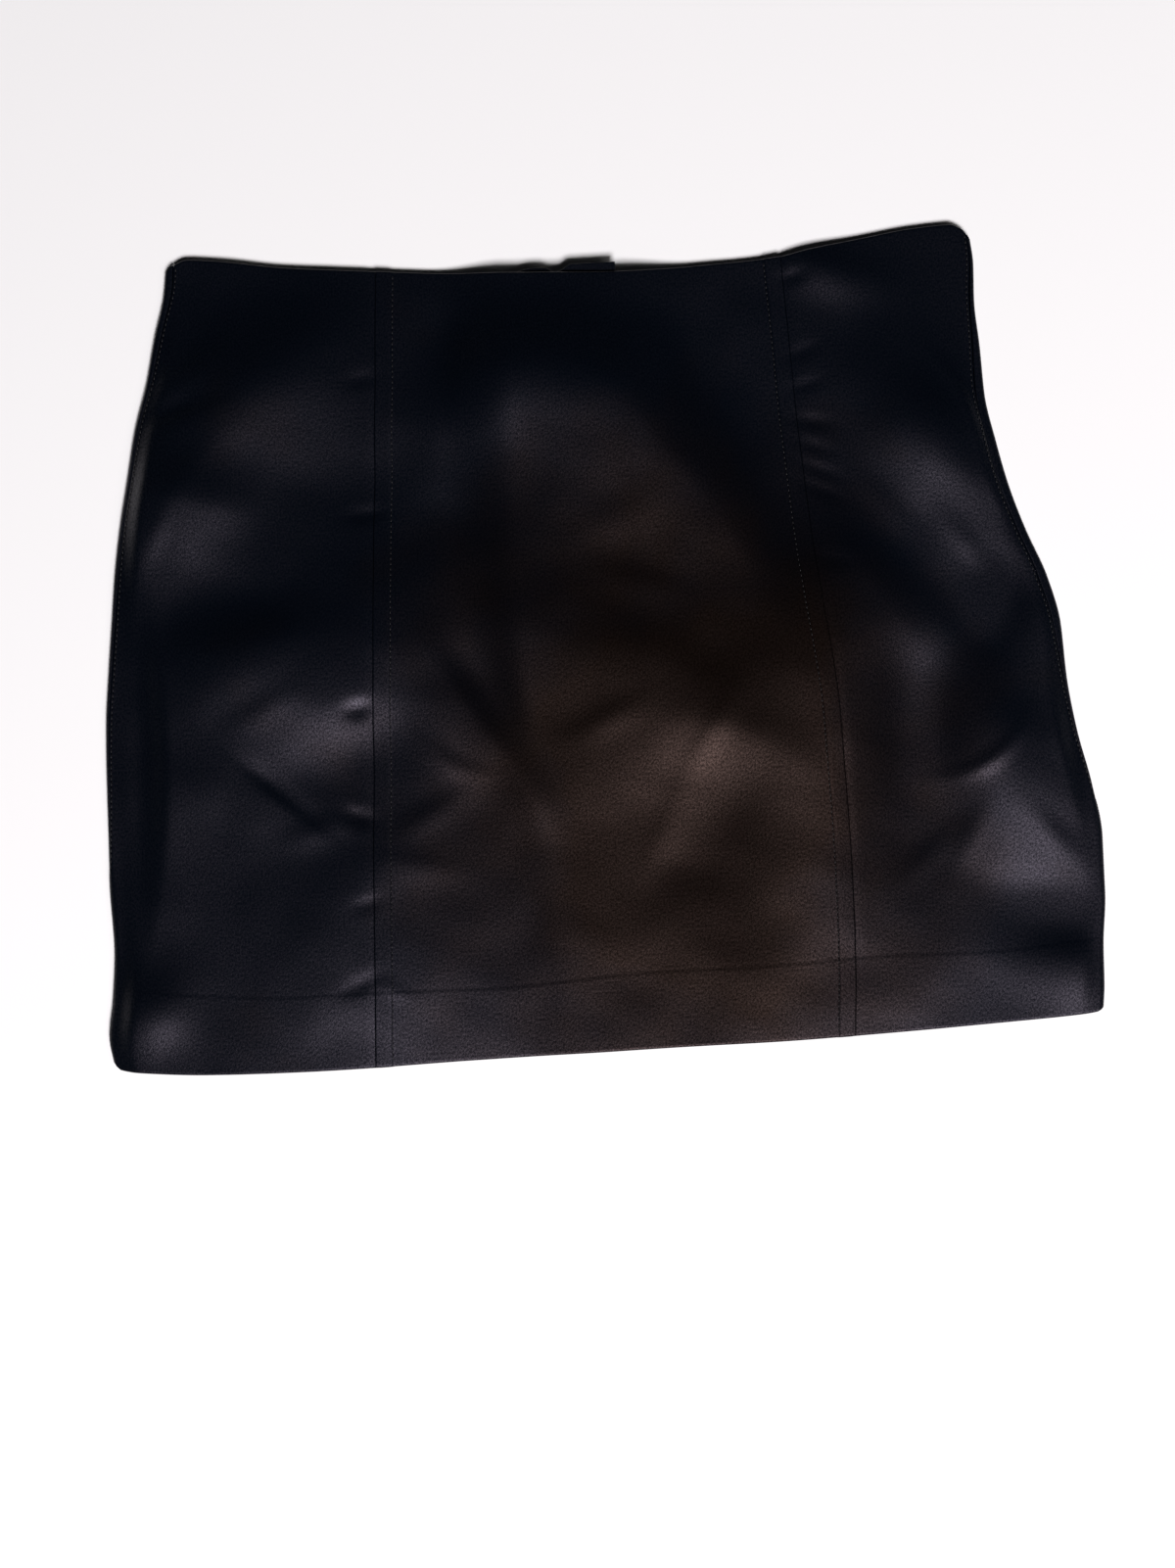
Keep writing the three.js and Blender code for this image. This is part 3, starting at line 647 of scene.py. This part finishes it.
def princess_allowance(side):
    """The side panel's allowance, which closes the princess seam from below.

    Its lower face lies under the side panel's and just under the strip's, and the rest of
    its wall is pressed up into both.
    """
    end = ALLOWANCE_END / LENGTH
    down = np.clip(panel_rows, end, 1 - end)[1:-1, None]
    across = ALLOWANCE_COLUMNS
    x = princess_x(side, down) - side * across
    y = skirt_y(x, down)
    under_strip = (strip_height(across) + ALLOWANCE_UP) * ease(0.3, 2.0, across)
    z = front_height(x, y) + hem_height(x, (1 - down) * LENGTH) + under_strip - ALLOWANCE_DROP
    z = z - rolled(from_ends(down))
    return cloth_panel("allowance", x, y, z, flip=side < 0, thickness=ALLOWANCE_CLOTH)


def sewn_side(side):
    """A front side with its allowance."""
    panel = front_side(side)
    allowance = princess_allowance(side)
    choose(panel)
    allowance.select_set(True)
    bpy.ops.object.join()
    return panel


front_side_left_cloth = sewn_side(-1)
dress(front_side_left_cloth, satin, "satin", "front_side_left")
front_side_right_cloth = sewn_side(1)
dress(front_side_right_cloth, satin, "satin", "front_side_right")

# ---------------------------------------------------------------------------------------
# The backs: from the laced opening out along the surface, round the side fold and up to
# the side seam. Below the opening they meet in a plain centre back seam. Ten holes take
# the eyelets.
# ---------------------------------------------------------------------------------------

BACK_CLOTH = 1.0  # the backs are doubled beside the opening
BACK_WIDTH = 220  # about, from the opening to the side fold
BACK_COLUMNS = close_in(0, BACK_WIDTH, 3.2)[:-3]
OPENING_HALF = 9.0
OPENING_FOOT = (24, 46)  # y where it starts to open, and where it has its full width
OPENING_LEAN = 1.5  # how far its line and the seam under it drift from waist to hem
EYELET_ROWS = 5
EYELET_TOP, EYELET_PITCH = 159, 24
EYELET_Y = [EYELET_TOP - EYELET_PITCH * row for row in range(EYELET_ROWS)]
EYELET_OUT = 15.5
EYELET_HOLE = 3.0
BACK_SHORT = 0.8  # how far the backs stop short of the front at the waist and the hem
BACK_FOLDS = (
    # x, y, turn, length, left, right, bow, rise
    (-128, 96, 38, 34, 12, 16, 0, 0.7),
    (-150, 20, -24, 30, 10, 15, 0, 0.6),
    (-84, -58, 14, 36, 12, 14, 0, 0.6),
    (-140, -118, -8, 30, 9, 12, 0, 0.7),
    (120, 84, -42, 32, 12, 15, 0, 0.7),
    (152, -6, -60, 26, 9, 12, 0, 0.7),
    (88, -72, -22, 34, 12, 14, 0, 0.6),
    (146, -134, 12, 26, 9, 10, 0, 0.7),
    (30, -120, 80, 24, 8, 9, 0, 0.6),
    (-40, -140, 12, 26, 8, 9, 0, 0.5),
)
# The folds and ripples keep in from the sides, the ends and the opening.
FOLDS_INSIDE_X, FOLDS_INSIDE_Y, FOLDS_GROW = 205, 160, 30
FOLDS_BESIDE_OPENING = (26, 60)


def back_under(x, y):
    """The backs' outer face, which lies on the surface except where folds stand off it."""
    inward = np.minimum(x + FOLDS_INSIDE_X, FOLDS_INSIDE_X - x)
    clear = ease(0, FOLDS_GROW, inward) * ease(0, FOLDS_GROW, FOLDS_INSIDE_Y - abs(y))
    clear = clear * ease(*FOLDS_BESIDE_OPENING, abs(x - OPENING_X))
    # A share of the ripples lifts it too, wherever they rise.
    low = 0.35 * np.maximum(0, ripple_height(x, y) + 0.3)
    return floor_height(x, y) + clear * (low + fold_height(BACK_FOLDS, x, y))


def back_panel(side):
    down = panel_rows[::2][:, None]
    name = "back_right_cloth" if side > 0 else "back_left_cloth"
    outline = side_outline(side, down)
    centre = OPENING_X + OPENING_LEAN * down
    half = OPENING_HALF * ease(*OPENING_FOOT, skirt_y(centre, down))
    edge = centre + side * np.maximum(half, SEAM_GAP / 2)
    start = -(np.abs(outline - edge) - FOLD_RADIUS + QUARTER)
    # The last columns, which go round the side fold, are closer together.
    flat_end = -QUARTER - 1.5
    end = along_cloth(side_inset(side, down)) - SIDE_SEAM_GAP / 2
    flat = start + (flat_end - start) * (BACK_COLUMNS / BACK_WIDTH)
    turn = flat_end + (end - flat_end) * np.linspace(0, 1, 15)
    along = np.concatenate((flat, turn), axis=1)
    x, y, z = tube_place(side, along, down, back_under)
    hidden = ease(-QUARTER, -QUARTER - 8, along)
    y = y - BACK_SHORT * hidden * (1 - 2 * down)
    return cloth_panel(name, x, y, z, flip=side > 0, thickness=BACK_CLOTH)


def punch_eyelets(panel, side):
    """A round hole through both layers for each eyelet."""
    middle_z = BACK_LIFT + BACK_CLOTH / 2
    for row_y in EYELET_Y:
        bpy.ops.object.select_all(action="DESELECT")
        place = Vector((OPENING_X + side * EYELET_OUT, row_y, middle_z)) * MM
        bpy.ops.mesh.primitive_cylinder_add(
            vertices=32, radius=EYELET_HOLE * MM, depth=4 * MM, location=place
        )
        punch = bpy.context.object
        bpy.ops.object.transform_apply(location=True, rotation=True, scale=True)
        bpy.context.view_layer.objects.active = panel
        hole = panel.modifiers.new("hole", "BOOLEAN")
        hole.operation = "DIFFERENCE"
        hole.solver = "EXACT"
        hole.object = punch
        bpy.ops.object.modifier_apply(modifier=hole.name)
        bpy.data.objects.remove(punch)


back_left_cloth = back_panel(-1)
punch_eyelets(back_left_cloth, -1)
dress(back_left_cloth, satin, "satin", "back_left")
back_right_cloth = back_panel(1)
punch_eyelets(back_right_cloth, 1)
dress(back_right_cloth, satin, "satin", "back_right")

# ---------------------------------------------------------------------------------------
# The placket: a strip of the same satin, folded double, behind the laced opening. It is
# sewn to the left back, and its free right corner stands over the waist edge.
# ---------------------------------------------------------------------------------------

PLACKET_HALF = 23.5
PLACKET_LENGTH = 144  # about, from its upper edge to its lower
PLACKET_BOTTOM = 30.0
PLACKET_Z = 7.05  # its face towards the front
PLACKET_SEWN = 4.75  # that face where it is sewn to the left back
PLACKET_STEP = 3.8  # the width over which it steps down to there
PLACKET_CLOTH = 0.9
PLACKET_STRAIN = 0.12
PLACKET_ROLL = 0.4
PLACKET_ROW_IN = 3.0  # from its free edges to their stitching
PLACKET_ROW_DIP, PLACKET_ROW_HALF = 0.12, 0.6
PLACKET_TOP = (
    # x from its middle, y of its upper edge
    (-23.5, 172.6), (-21.0, 173.4), (-14.0, 174.5), (-9.0, 174.3), (-6.5, 173.3),
    (-4.5, 172.2), (-2.0, 172.6), (3.5, 175.5), (23.5, 175.5),
)
placket_top = through(PLACKET_TOP, 1)


def placket():
    across = close_in(-PLACKET_HALF, PLACKET_HALF, 1.4)[None, :]
    down = close_in(0, PLACKET_LENGTH, 2.0)[:, None] / PLACKET_LENGTH
    y = placket_top(across) * (1 - down) + PLACKET_BOTTOM * down
    x = OPENING_X + across + 0 * y
    stepped = ease(-PLACKET_HALF + PLACKET_STEP, -PLACKET_HALF, across)
    z = PLACKET_Z + (PLACKET_SEWN - PLACKET_Z) * stepped
    # The lacing strains it a little between the rows of eyelets.
    rows = np.cos(math.tau * (y - EYELET_TOP) / EYELET_PITCH)
    z = z + PLACKET_STRAIN * rows * ease(16, 4, abs(across))
    edge = np.minimum(PLACKET_HALF - abs(across), np.minimum(down, 1 - down) * PLACKET_LENGTH)
    stitched = np.exp(-(((edge - PLACKET_ROW_IN) / PLACKET_ROW_HALF) ** 2))
    z = z - rolled(edge, PLACKET_ROLL) - PLACKET_ROW_DIP * stitched
    return cloth_panel("placket_cloth", x, y, z, flip=False, thickness=PLACKET_CLOTH)


placket_cloth = placket()
dress(placket_cloth, satin, "satin", "placket")

# ---------------------------------------------------------------------------------------
# The stitching: black polyester thread. Both princess seams are topstitched through their
# allowances, both side seams are edge stitched, and the placket has a row round its edge.
# ---------------------------------------------------------------------------------------

PITCH = 2.54  # from one stitch to the next
STITCH = 1.7  # what shows of each
THREAD_RADIUS = 0.17
THREAD_UP = THREAD_RADIUS * 0.4  # a stitch's middle line over the cloth
EDGE_STITCH_IN = 1.1  # from a side seam to its edge stitching
NEEDLE_HOLE = (0.46, 0.27)  # half its length along the row, and half its width
NEEDLE_HOLE_SIDES = 8
STITCHED_DOWN = np.linspace(0.004, 0.996, 220)  # shares of the way from waist to hem


def grained_finish(name, values, grain, stops, roughness, bump):
    """A finish whose colour, polish and face all follow one fine grain."""
    material, shader, add, join = new_finish(name, values)
    scale, detail = grain
    place = add("ShaderNodeTexCoord")
    speck = add("ShaderNodeTexNoise", {"Scale": scale, "Detail": detail})
    join(place, "Object", speck, "Vector")
    dye = add("ShaderNodeValToRGB")
    for stop, (position, colour) in zip(dye.color_ramp.elements, stops):
        stop.position = position
        stop.color = colour
    join(speck, "Fac", dye, "Fac")
    join(dye, "Color", shader, "Base Color")
    smooth, rough = roughness
    polish = add("ShaderNodeMapRange", {"To Min": smooth, "To Max": rough})
    join(speck, "Fac", polish, "Value")
    join(polish, "Result", shader, "Roughness")
    strength, height = bump
    face = add("ShaderNodeBump", {"Strength": strength, "Distance": height * MM})
    join(speck, "Fac", face, "Height")
    join(face, "Normal", shader, "Normal")
    return material


# Twisted filament thread, a shade lighter than the satin where the light catches it.
thread = grained_finish(
    "black_thread", {"Specular IOR Level": 0.4}, grain=(4200, 3),
    stops=((0, (0.002, 0.002, 0.003, 1)), (1, (0.009, 0.008, 0.009, 1))),
    roughness=(0.38, 0.6), bump=(0.5, 0.03),
)
# Painted shade: the dull black of the needle holes.
HOLE_SHADE_COLOUR = (0.0005, 0.0005, 0.0008, 1)
HOLE_VALUES = {"Base Color": HOLE_SHADE_COLOUR, "Roughness": 0.95, "Specular IOR Level": 0.02}
needle_hole_shade = new_finish("needle_hole_shade", HOLE_VALUES)[0]
# One stitch, as rings from its first end to its last: it dives into the cloth at both.
STITCH_RINGS = (
    # along, height, thickness: shares of the stitch and of the thread's radius
    (-0.50, -1.6, 0.45), (-0.44, -0.9, 0.8), (-0.28, 0.1, 1.0), (0.0, 0.6, 1.05),
    (0.28, 0.1, 1.0), (0.44, -0.9, 0.8), (0.50, -1.6, 0.45),
)
STITCH_SIDES = 6


def stitch_row(name, places):
    """A row of stitches along a line of places on the cloth, joined in one mesh."""
    places = np.array(places)
    steps = np.linalg.norm(np.diff(places, axis=0), axis=1)
    length = np.concatenate(((0,), np.cumsum(steps)))
    middles = np.arange(PITCH * 0.6, length[-1] - PITCH * 0.4, PITCH)

    def stretch(middle, reach):
        """A stretch of the row: both ends, and its headings along, aside and up."""
        first, last = (
            Vector([np.interp(middle + end * reach, length, places[:, k]) for k in range(3)])
            for end in (-0.5, 0.5)
        )
        heading = (last - first).normalized()
        aside = heading.cross(Vector((0, 0, 1))).normalized()
        return first, last, heading, aside, aside.cross(heading)

    corners, faces = [], []
    turns = [math.tau * k / STITCH_SIDES for k in range(STITCH_SIDES)]
    for middle in middles:
        first, last, heading, aside, up = stretch(middle, STITCH)
        start = len(corners)
        for along, height, thickness in STITCH_RINGS:
            centre = first.lerp(last, along + 0.5) + up * height * THREAD_RADIUS
            for turn in turns:
                out = aside * math.cos(turn) + up * math.sin(turn)
                corners.append((centre + out * thickness * THREAD_RADIUS) * MM)
        for ring in range(len(STITCH_RINGS) - 1):
            for k in range(STITCH_SIDES):
                a = start + ring * STITCH_SIDES + k
                b = start + ring * STITCH_SIDES + (k + 1) % STITCH_SIDES
                faces.append((a, a + STITCH_SIDES, b + STITCH_SIDES, b))
        final = start + (len(STITCH_RINGS) - 1) * STITCH_SIDES
        faces.append(tuple(range(start, start + STITCH_SIDES)))
        faces.append(tuple(range(final + STITCH_SIDES - 1, final - 1, -1)))
    # Painted shade: a flat disc of dull black lies over the cloth wherever the needle went
    # through, for the shade in its small hole.
    thread_faces = len(faces)
    for middle in middles[:-1] + PITCH / 2:
        first, last, heading, aside, up = stretch(middle, 1.0)
        centre = (first + last) / 2 - up * THREAD_RADIUS * 0.2
        start = len(corners)
        for k in range(NEEDLE_HOLE_SIDES):
            turn = -math.tau * k / NEEDLE_HOLE_SIDES
            around = heading * math.cos(turn) * NEEDLE_HOLE[0]
            corners.append((centre + around + aside * math.sin(turn) * NEEDLE_HOLE[1]) * MM)
        faces.append(tuple(range(start, start + NEEDLE_HOLE_SIDES)))
    mesh = bpy.data.meshes.new(name)
    mesh.from_pydata([tuple(corner) for corner in corners], [], faces)
    for hole in mesh.polygons[thread_faces:]:
        hole.material_index = 1
    row = laid_piece(name, mesh)
    bpy.ops.object.shade_smooth()
    dress(row, thread, "satin")
    row.data.materials.append(needle_hole_shade)
    return row


def topstitch(side):
    """Places along the topstitching of a princess seam."""
    down = STITCHED_DOWN
    x = princess_x(side, down) - side * (STRIP + SEAM_GAP / 2)
    y = skirt_y(x, down)
    z = centre_height(x, y, down, STRIP) + THREAD_UP
    return np.stack((x, y, z), axis=-1)


def edge_stitch(side):
    """Places along the edge stitching of a side seam, on the front side panel."""
    down = STITCHED_DOWN
    along = along_cloth(side_inset(side, down)) + SIDE_SEAM_GAP / 2 + EDGE_STITCH_IN
    x, y, z = tube_place(side, along, down, floor_height)
    return np.stack((x, y, z + THREAD_UP), axis=-1)


princess_stitches = [
    stitch_row("topstitching_left", topstitch(-1)),
    stitch_row("topstitching_right", topstitch(1)),
]
side_stitches = [
    stitch_row("edge_stitching_left", edge_stitch(-1)),
    stitch_row("edge_stitching_right", edge_stitch(1)),
]


def placket_stitch():
    """Places down the placket's sewn side, along its lower end and up its free side."""
    low, high = OPENING_X - PLACKET_HALF + 5.5, OPENING_X + PLACKET_HALF - PLACKET_ROW_IN
    bottom, top = PLACKET_BOTTOM + PLACKET_ROW_IN, 171.0
    corners = ((low, top), (low, bottom), (high, bottom), (high, top))
    return [(x, y, PLACKET_Z - 0.05) for x, y in corners]


placket_row = stitch_row("placket_stitching", placket_stitch())

# ---------------------------------------------------------------------------------------
# The eyelets: pressed brass, blackened. The flange shows outside the back and the rolled
# rim inside it, and the black is worn through in specks.
# ---------------------------------------------------------------------------------------

blackened = grained_finish(
    "blackened_brass", {"Metallic": 1.0}, grain=(900, 4),
    stops=((0.55, (0.012, 0.011, 0.010, 1)), (0.78, (0.16, 0.11, 0.05, 1))),
    roughness=(0.3, 0.5), bump=(0.3, 0.02),
)
for side_name in ("left", "right"):
    for row in range(1, EYELET_ROWS + 1):
        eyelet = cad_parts[f"eyelet_{side_name}_{row}"]
        eyelet.data.materials.clear()
        eyelet.data.materials.append(blackened)

# ---------------------------------------------------------------------------------------
# The lace: one round braided cord, knotted inside the top left eyelet. It zigzags down
# through the eyelets, crosses between the lowest pair, zigzags up and ends in a knot.
# ---------------------------------------------------------------------------------------

LACE_RADIUS = 0.75
LACE_LOW, LACE_HIGH = 0.95, 5.05  # outside the backs, and inside them
LACE_TURN = 1.0  # how far it leans in as it passes through an eyelet
LACE_SIDES = 16
LACE_PIECES = 5  # cuts of the smooth line between each two places
STRANDS = 4  # that wind each way round the cord
STRAND_TURN = 4.0  # along the cord for one whole turn of a strand
STRAND_RISE = 0.035
KNOT_HIGH = 4.75
KNOT_BELOW = Vector((0, -9.5, 0))
KNOT_RADIUS, KNOT_CORD, KNOT_TILT = 1.05, 0.7, (0.25, 0.2, 0.6)
CROSSING = (
    # share of the way, rise in the bar, on the way down, on the way up
    (0.22, 0.03, 0.05, 0.01),
    (0.50, 0.50, 0.76, 0.24),
    (0.78, 0.99, 1.0, 0.97),
)


def lace_route():
    """The lace's middle line, from knot to knot."""
    stops = [(1 if row % 2 else -1, row) for row in range(EYELET_ROWS)]
    stops += [(-side, row) for side, row in reversed(stops)]
    at = [Vector((OPENING_X + side * EYELET_OUT, EYELET_Y[row], 0)) for side, row in stops]
    knots = (at[0] + KNOT_BELOW, at[-1] + KNOT_BELOW)
    route = [knots[0] + Vector((0, 0, KNOT_HIGH))]
    lowest = EYELET_ROWS - 1
    for i, place in enumerate(at[:-1]):
        come = ((at[i - 1] if i else knots[0]) - place).normalized()
        go = (at[i + 1] - place).normalized()
        corner = come + go if (come + go).length > 0.2 else come
        corner = -LACE_TURN * corner.normalized()
        bend = LACE_TURN + 0.5
        for plan, z in (
            (come * 2, LACE_HIGH), (come * 0.6, LACE_HIGH - 0.05), (corner, LACE_HIGH - bend),
            (corner, LACE_LOW + bend), (go * 0.6, LACE_LOW + 0.05), (go * 2, LACE_LOW),
        ):
            route.append(place + plan + Vector((0, 0, z)))
        for share, bar, going_down, going_up in CROSSING:
            rise = bar if i == lowest else going_down if i < lowest else going_up
            z = LACE_LOW + (LACE_HIGH - LACE_LOW) * rise
            route.append(place.lerp(at[i + 1], share) + Vector((0, 0, z)))
    route.append(knots[1] + Vector((0, 0, KNOT_HIGH)))
    return route, knots


def smooth_route(route):
    """A smooth curve through the route, cut into pieces between each two places."""
    ends = [2 * route[0] - route[1], *route, 2 * route[-1] - route[-2]]
    line = []
    for i in range(1, len(ends) - 2):
        before, a, b, after = ends[i - 1 : i + 3]
        gaps = [max((q - p).length, 1e-6) ** 0.5 for p, q in ((before, a), (a, b), (b, after))]
        out = gaps[1] * ((a - before) / gaps[0] - (b - before) / (gaps[0] + gaps[1])) + b - a
        into = gaps[1] * ((after - b) / gaps[2] - (after - a) / (gaps[1] + gaps[2])) + b - a
        for k in range(LACE_PIECES):
            t = k / LACE_PIECES
            line.append(
                a * (1 + 2 * t) * (1 - t) ** 2
                + out * t * (1 - t) ** 2
                + b * t * t * (3 - 2 * t)
                - into * t * t * (1 - t)
            )
    return [*line, ends[-2]]


def lace_tube(line):
    """The braided cord along its middle line."""
    corners, faces = [], []
    heading = (line[1] - line[0]).normalized()
    aside = Vector((0, 0, 1)).cross(heading).normalized()
    travelled = 0.0
    for i, centre in enumerate(line):
        onward = line[min(i + 1, len(line) - 1)] - line[max(i - 1, 0)]
        turn = heading.rotation_difference(onward.normalized())
        heading = onward.normalized()
        aside = (turn @ aside).normalized()
        up = heading.cross(aside)
        travelled += (centre - line[max(i - 1, 0)]).length
        for k in range(LACE_SIDES):
            angle = math.tau * k / LACE_SIDES
            # Two sets of strands wind round the cord against each other.
            wind = math.tau * travelled / STRAND_TURN
            crossed = math.cos(STRANDS * (angle - wind)) * math.cos(STRANDS * (angle + wind))
            radius = LACE_RADIUS - STRAND_RISE + STRAND_RISE * crossed
            out = aside * math.cos(angle) + up * math.sin(angle)
            corners.append((centre + out * radius) * MM)
    for i in range(len(line) - 1):
        for k in range(LACE_SIDES):
            a, b = i * LACE_SIDES + k, i * LACE_SIDES + (k + 1) % LACE_SIDES
            faces.append((a, b, b + LACE_SIDES, a + LACE_SIDES))
    final = (len(line) - 1) * LACE_SIDES
    faces.append(tuple(range(LACE_SIDES - 1, -1, -1)))
    faces.append(tuple(range(final, final + LACE_SIDES)))
    mesh = bpy.data.meshes.new("lace_cord")
    mesh.from_pydata([tuple(corner) for corner in corners], [], faces)
    cord = laid_piece("lace_cord", mesh)
    bpy.ops.object.shade_smooth()
    return cord


def lace_knot(name, place):
    """An overhand knot, drawn down small: a turn of the cord round itself."""
    bpy.ops.object.select_all(action="DESELECT")
    bpy.ops.mesh.primitive_torus_add(
        major_radius=KNOT_RADIUS * MM, minor_radius=KNOT_CORD * MM,
        major_segments=28, minor_segments=12, location=place * MM, rotation=KNOT_TILT,
    )
    knot = bpy.context.object
    knot.name = knot.data.name = name
    bpy.ops.object.transform_apply(location=True, rotation=True, scale=True)
    bpy.ops.object.shade_smooth()
    return knot


# Round braid of black polyester, dull beside the satin.
braid = grained_finish(
    "black_braid", {"Specular IOR Level": 0.35}, grain=(2600, 4),
    stops=((0, (0.002, 0.002, 0.003, 1)), (1, (0.010, 0.009, 0.010, 1))),
    roughness=(0.5, 0.75), bump=(0.5, 0.04),
)
route, knot_places = lace_route()
lace_cord = lace_tube(smooth_route(route))
dress(lace_cord, braid, "lace", "lace")
lace_knots = [
    lace_knot(f"lace_knot_{end}", place + Vector((0, 0, KNOT_HIGH)))
    for end, place in zip(("left", "right"), knot_places)
]
for knot in lace_knots:
    dress(knot, braid, "lace")

# ---------------------------------------------------------------------------------------
# The stage: a pale surface, soft lights and the camera above it.
# ---------------------------------------------------------------------------------------

bpy.ops.object.select_all(action="DESELECT")
bpy.ops.mesh.primitive_plane_add(size=6, location=(0, 0, -0.0002))
surface = bpy.context.object
surface.name = "surface"
pale = new_finish("pale_surface", {"Base Color": (0.86, 0.86, 0.86, 1), "Roughness": 0.9})[0]
surface.data.materials.append(pale)


def soft_light(name, place, aim, size, power, colour):
    lamp = bpy.data.lights.new(name, "AREA")
    lamp.shape = "RECTANGLE"
    lamp.size, lamp.size_y = size
    lamp.energy = power
    lamp.color = colour
    light = bpy.data.objects.new(name, lamp)
    light.location = place
    light.rotation_euler = (Vector(aim) - Vector(place)).to_track_quat("-Z", "Y").to_euler()
    bpy.context.scene.collection.objects.link(light)


LIGHTS = (
    # name, place, aim, size, power, colour
    ("light_key", (0.60, -2.60, 3.60), (0, 0, 0), (1.5, 1.2), 282, (1.0, 0.97, 0.985)),
    ("light_low_right", (1.20, -0.90, 1.60), (0, 0, 0), (0.8, 0.8), 4, (1.0, 0.95, 0.92)),
)
for light in LIGHTS:
    soft_light(*light)

WORLD_STRENGTH = 0.008
world = bpy.data.worlds.new("studio")
world.use_nodes = True
background = world.node_tree.nodes["Background"]
set_values(background, {"Color": (0.9, 0.92, 1.0, 1), "Strength": WORLD_STRENGTH})
bpy.context.scene.world = world
bpy.context.scene.view_settings.view_transform = "Standard"

lens = bpy.data.cameras.new("camera")
lens.lens = 50
lens.sensor_width = 36
lens.sensor_fit = "AUTO"
camera = bpy.data.objects.new("camera", lens)
camera.location = (-0.0050, -0.0628, 1.0 + FRONT_REST * MM)
camera.rotation_euler = (0, 0, math.radians(-3.0))
bpy.context.scene.collection.objects.link(camera)
bpy.context.scene.camera = camera
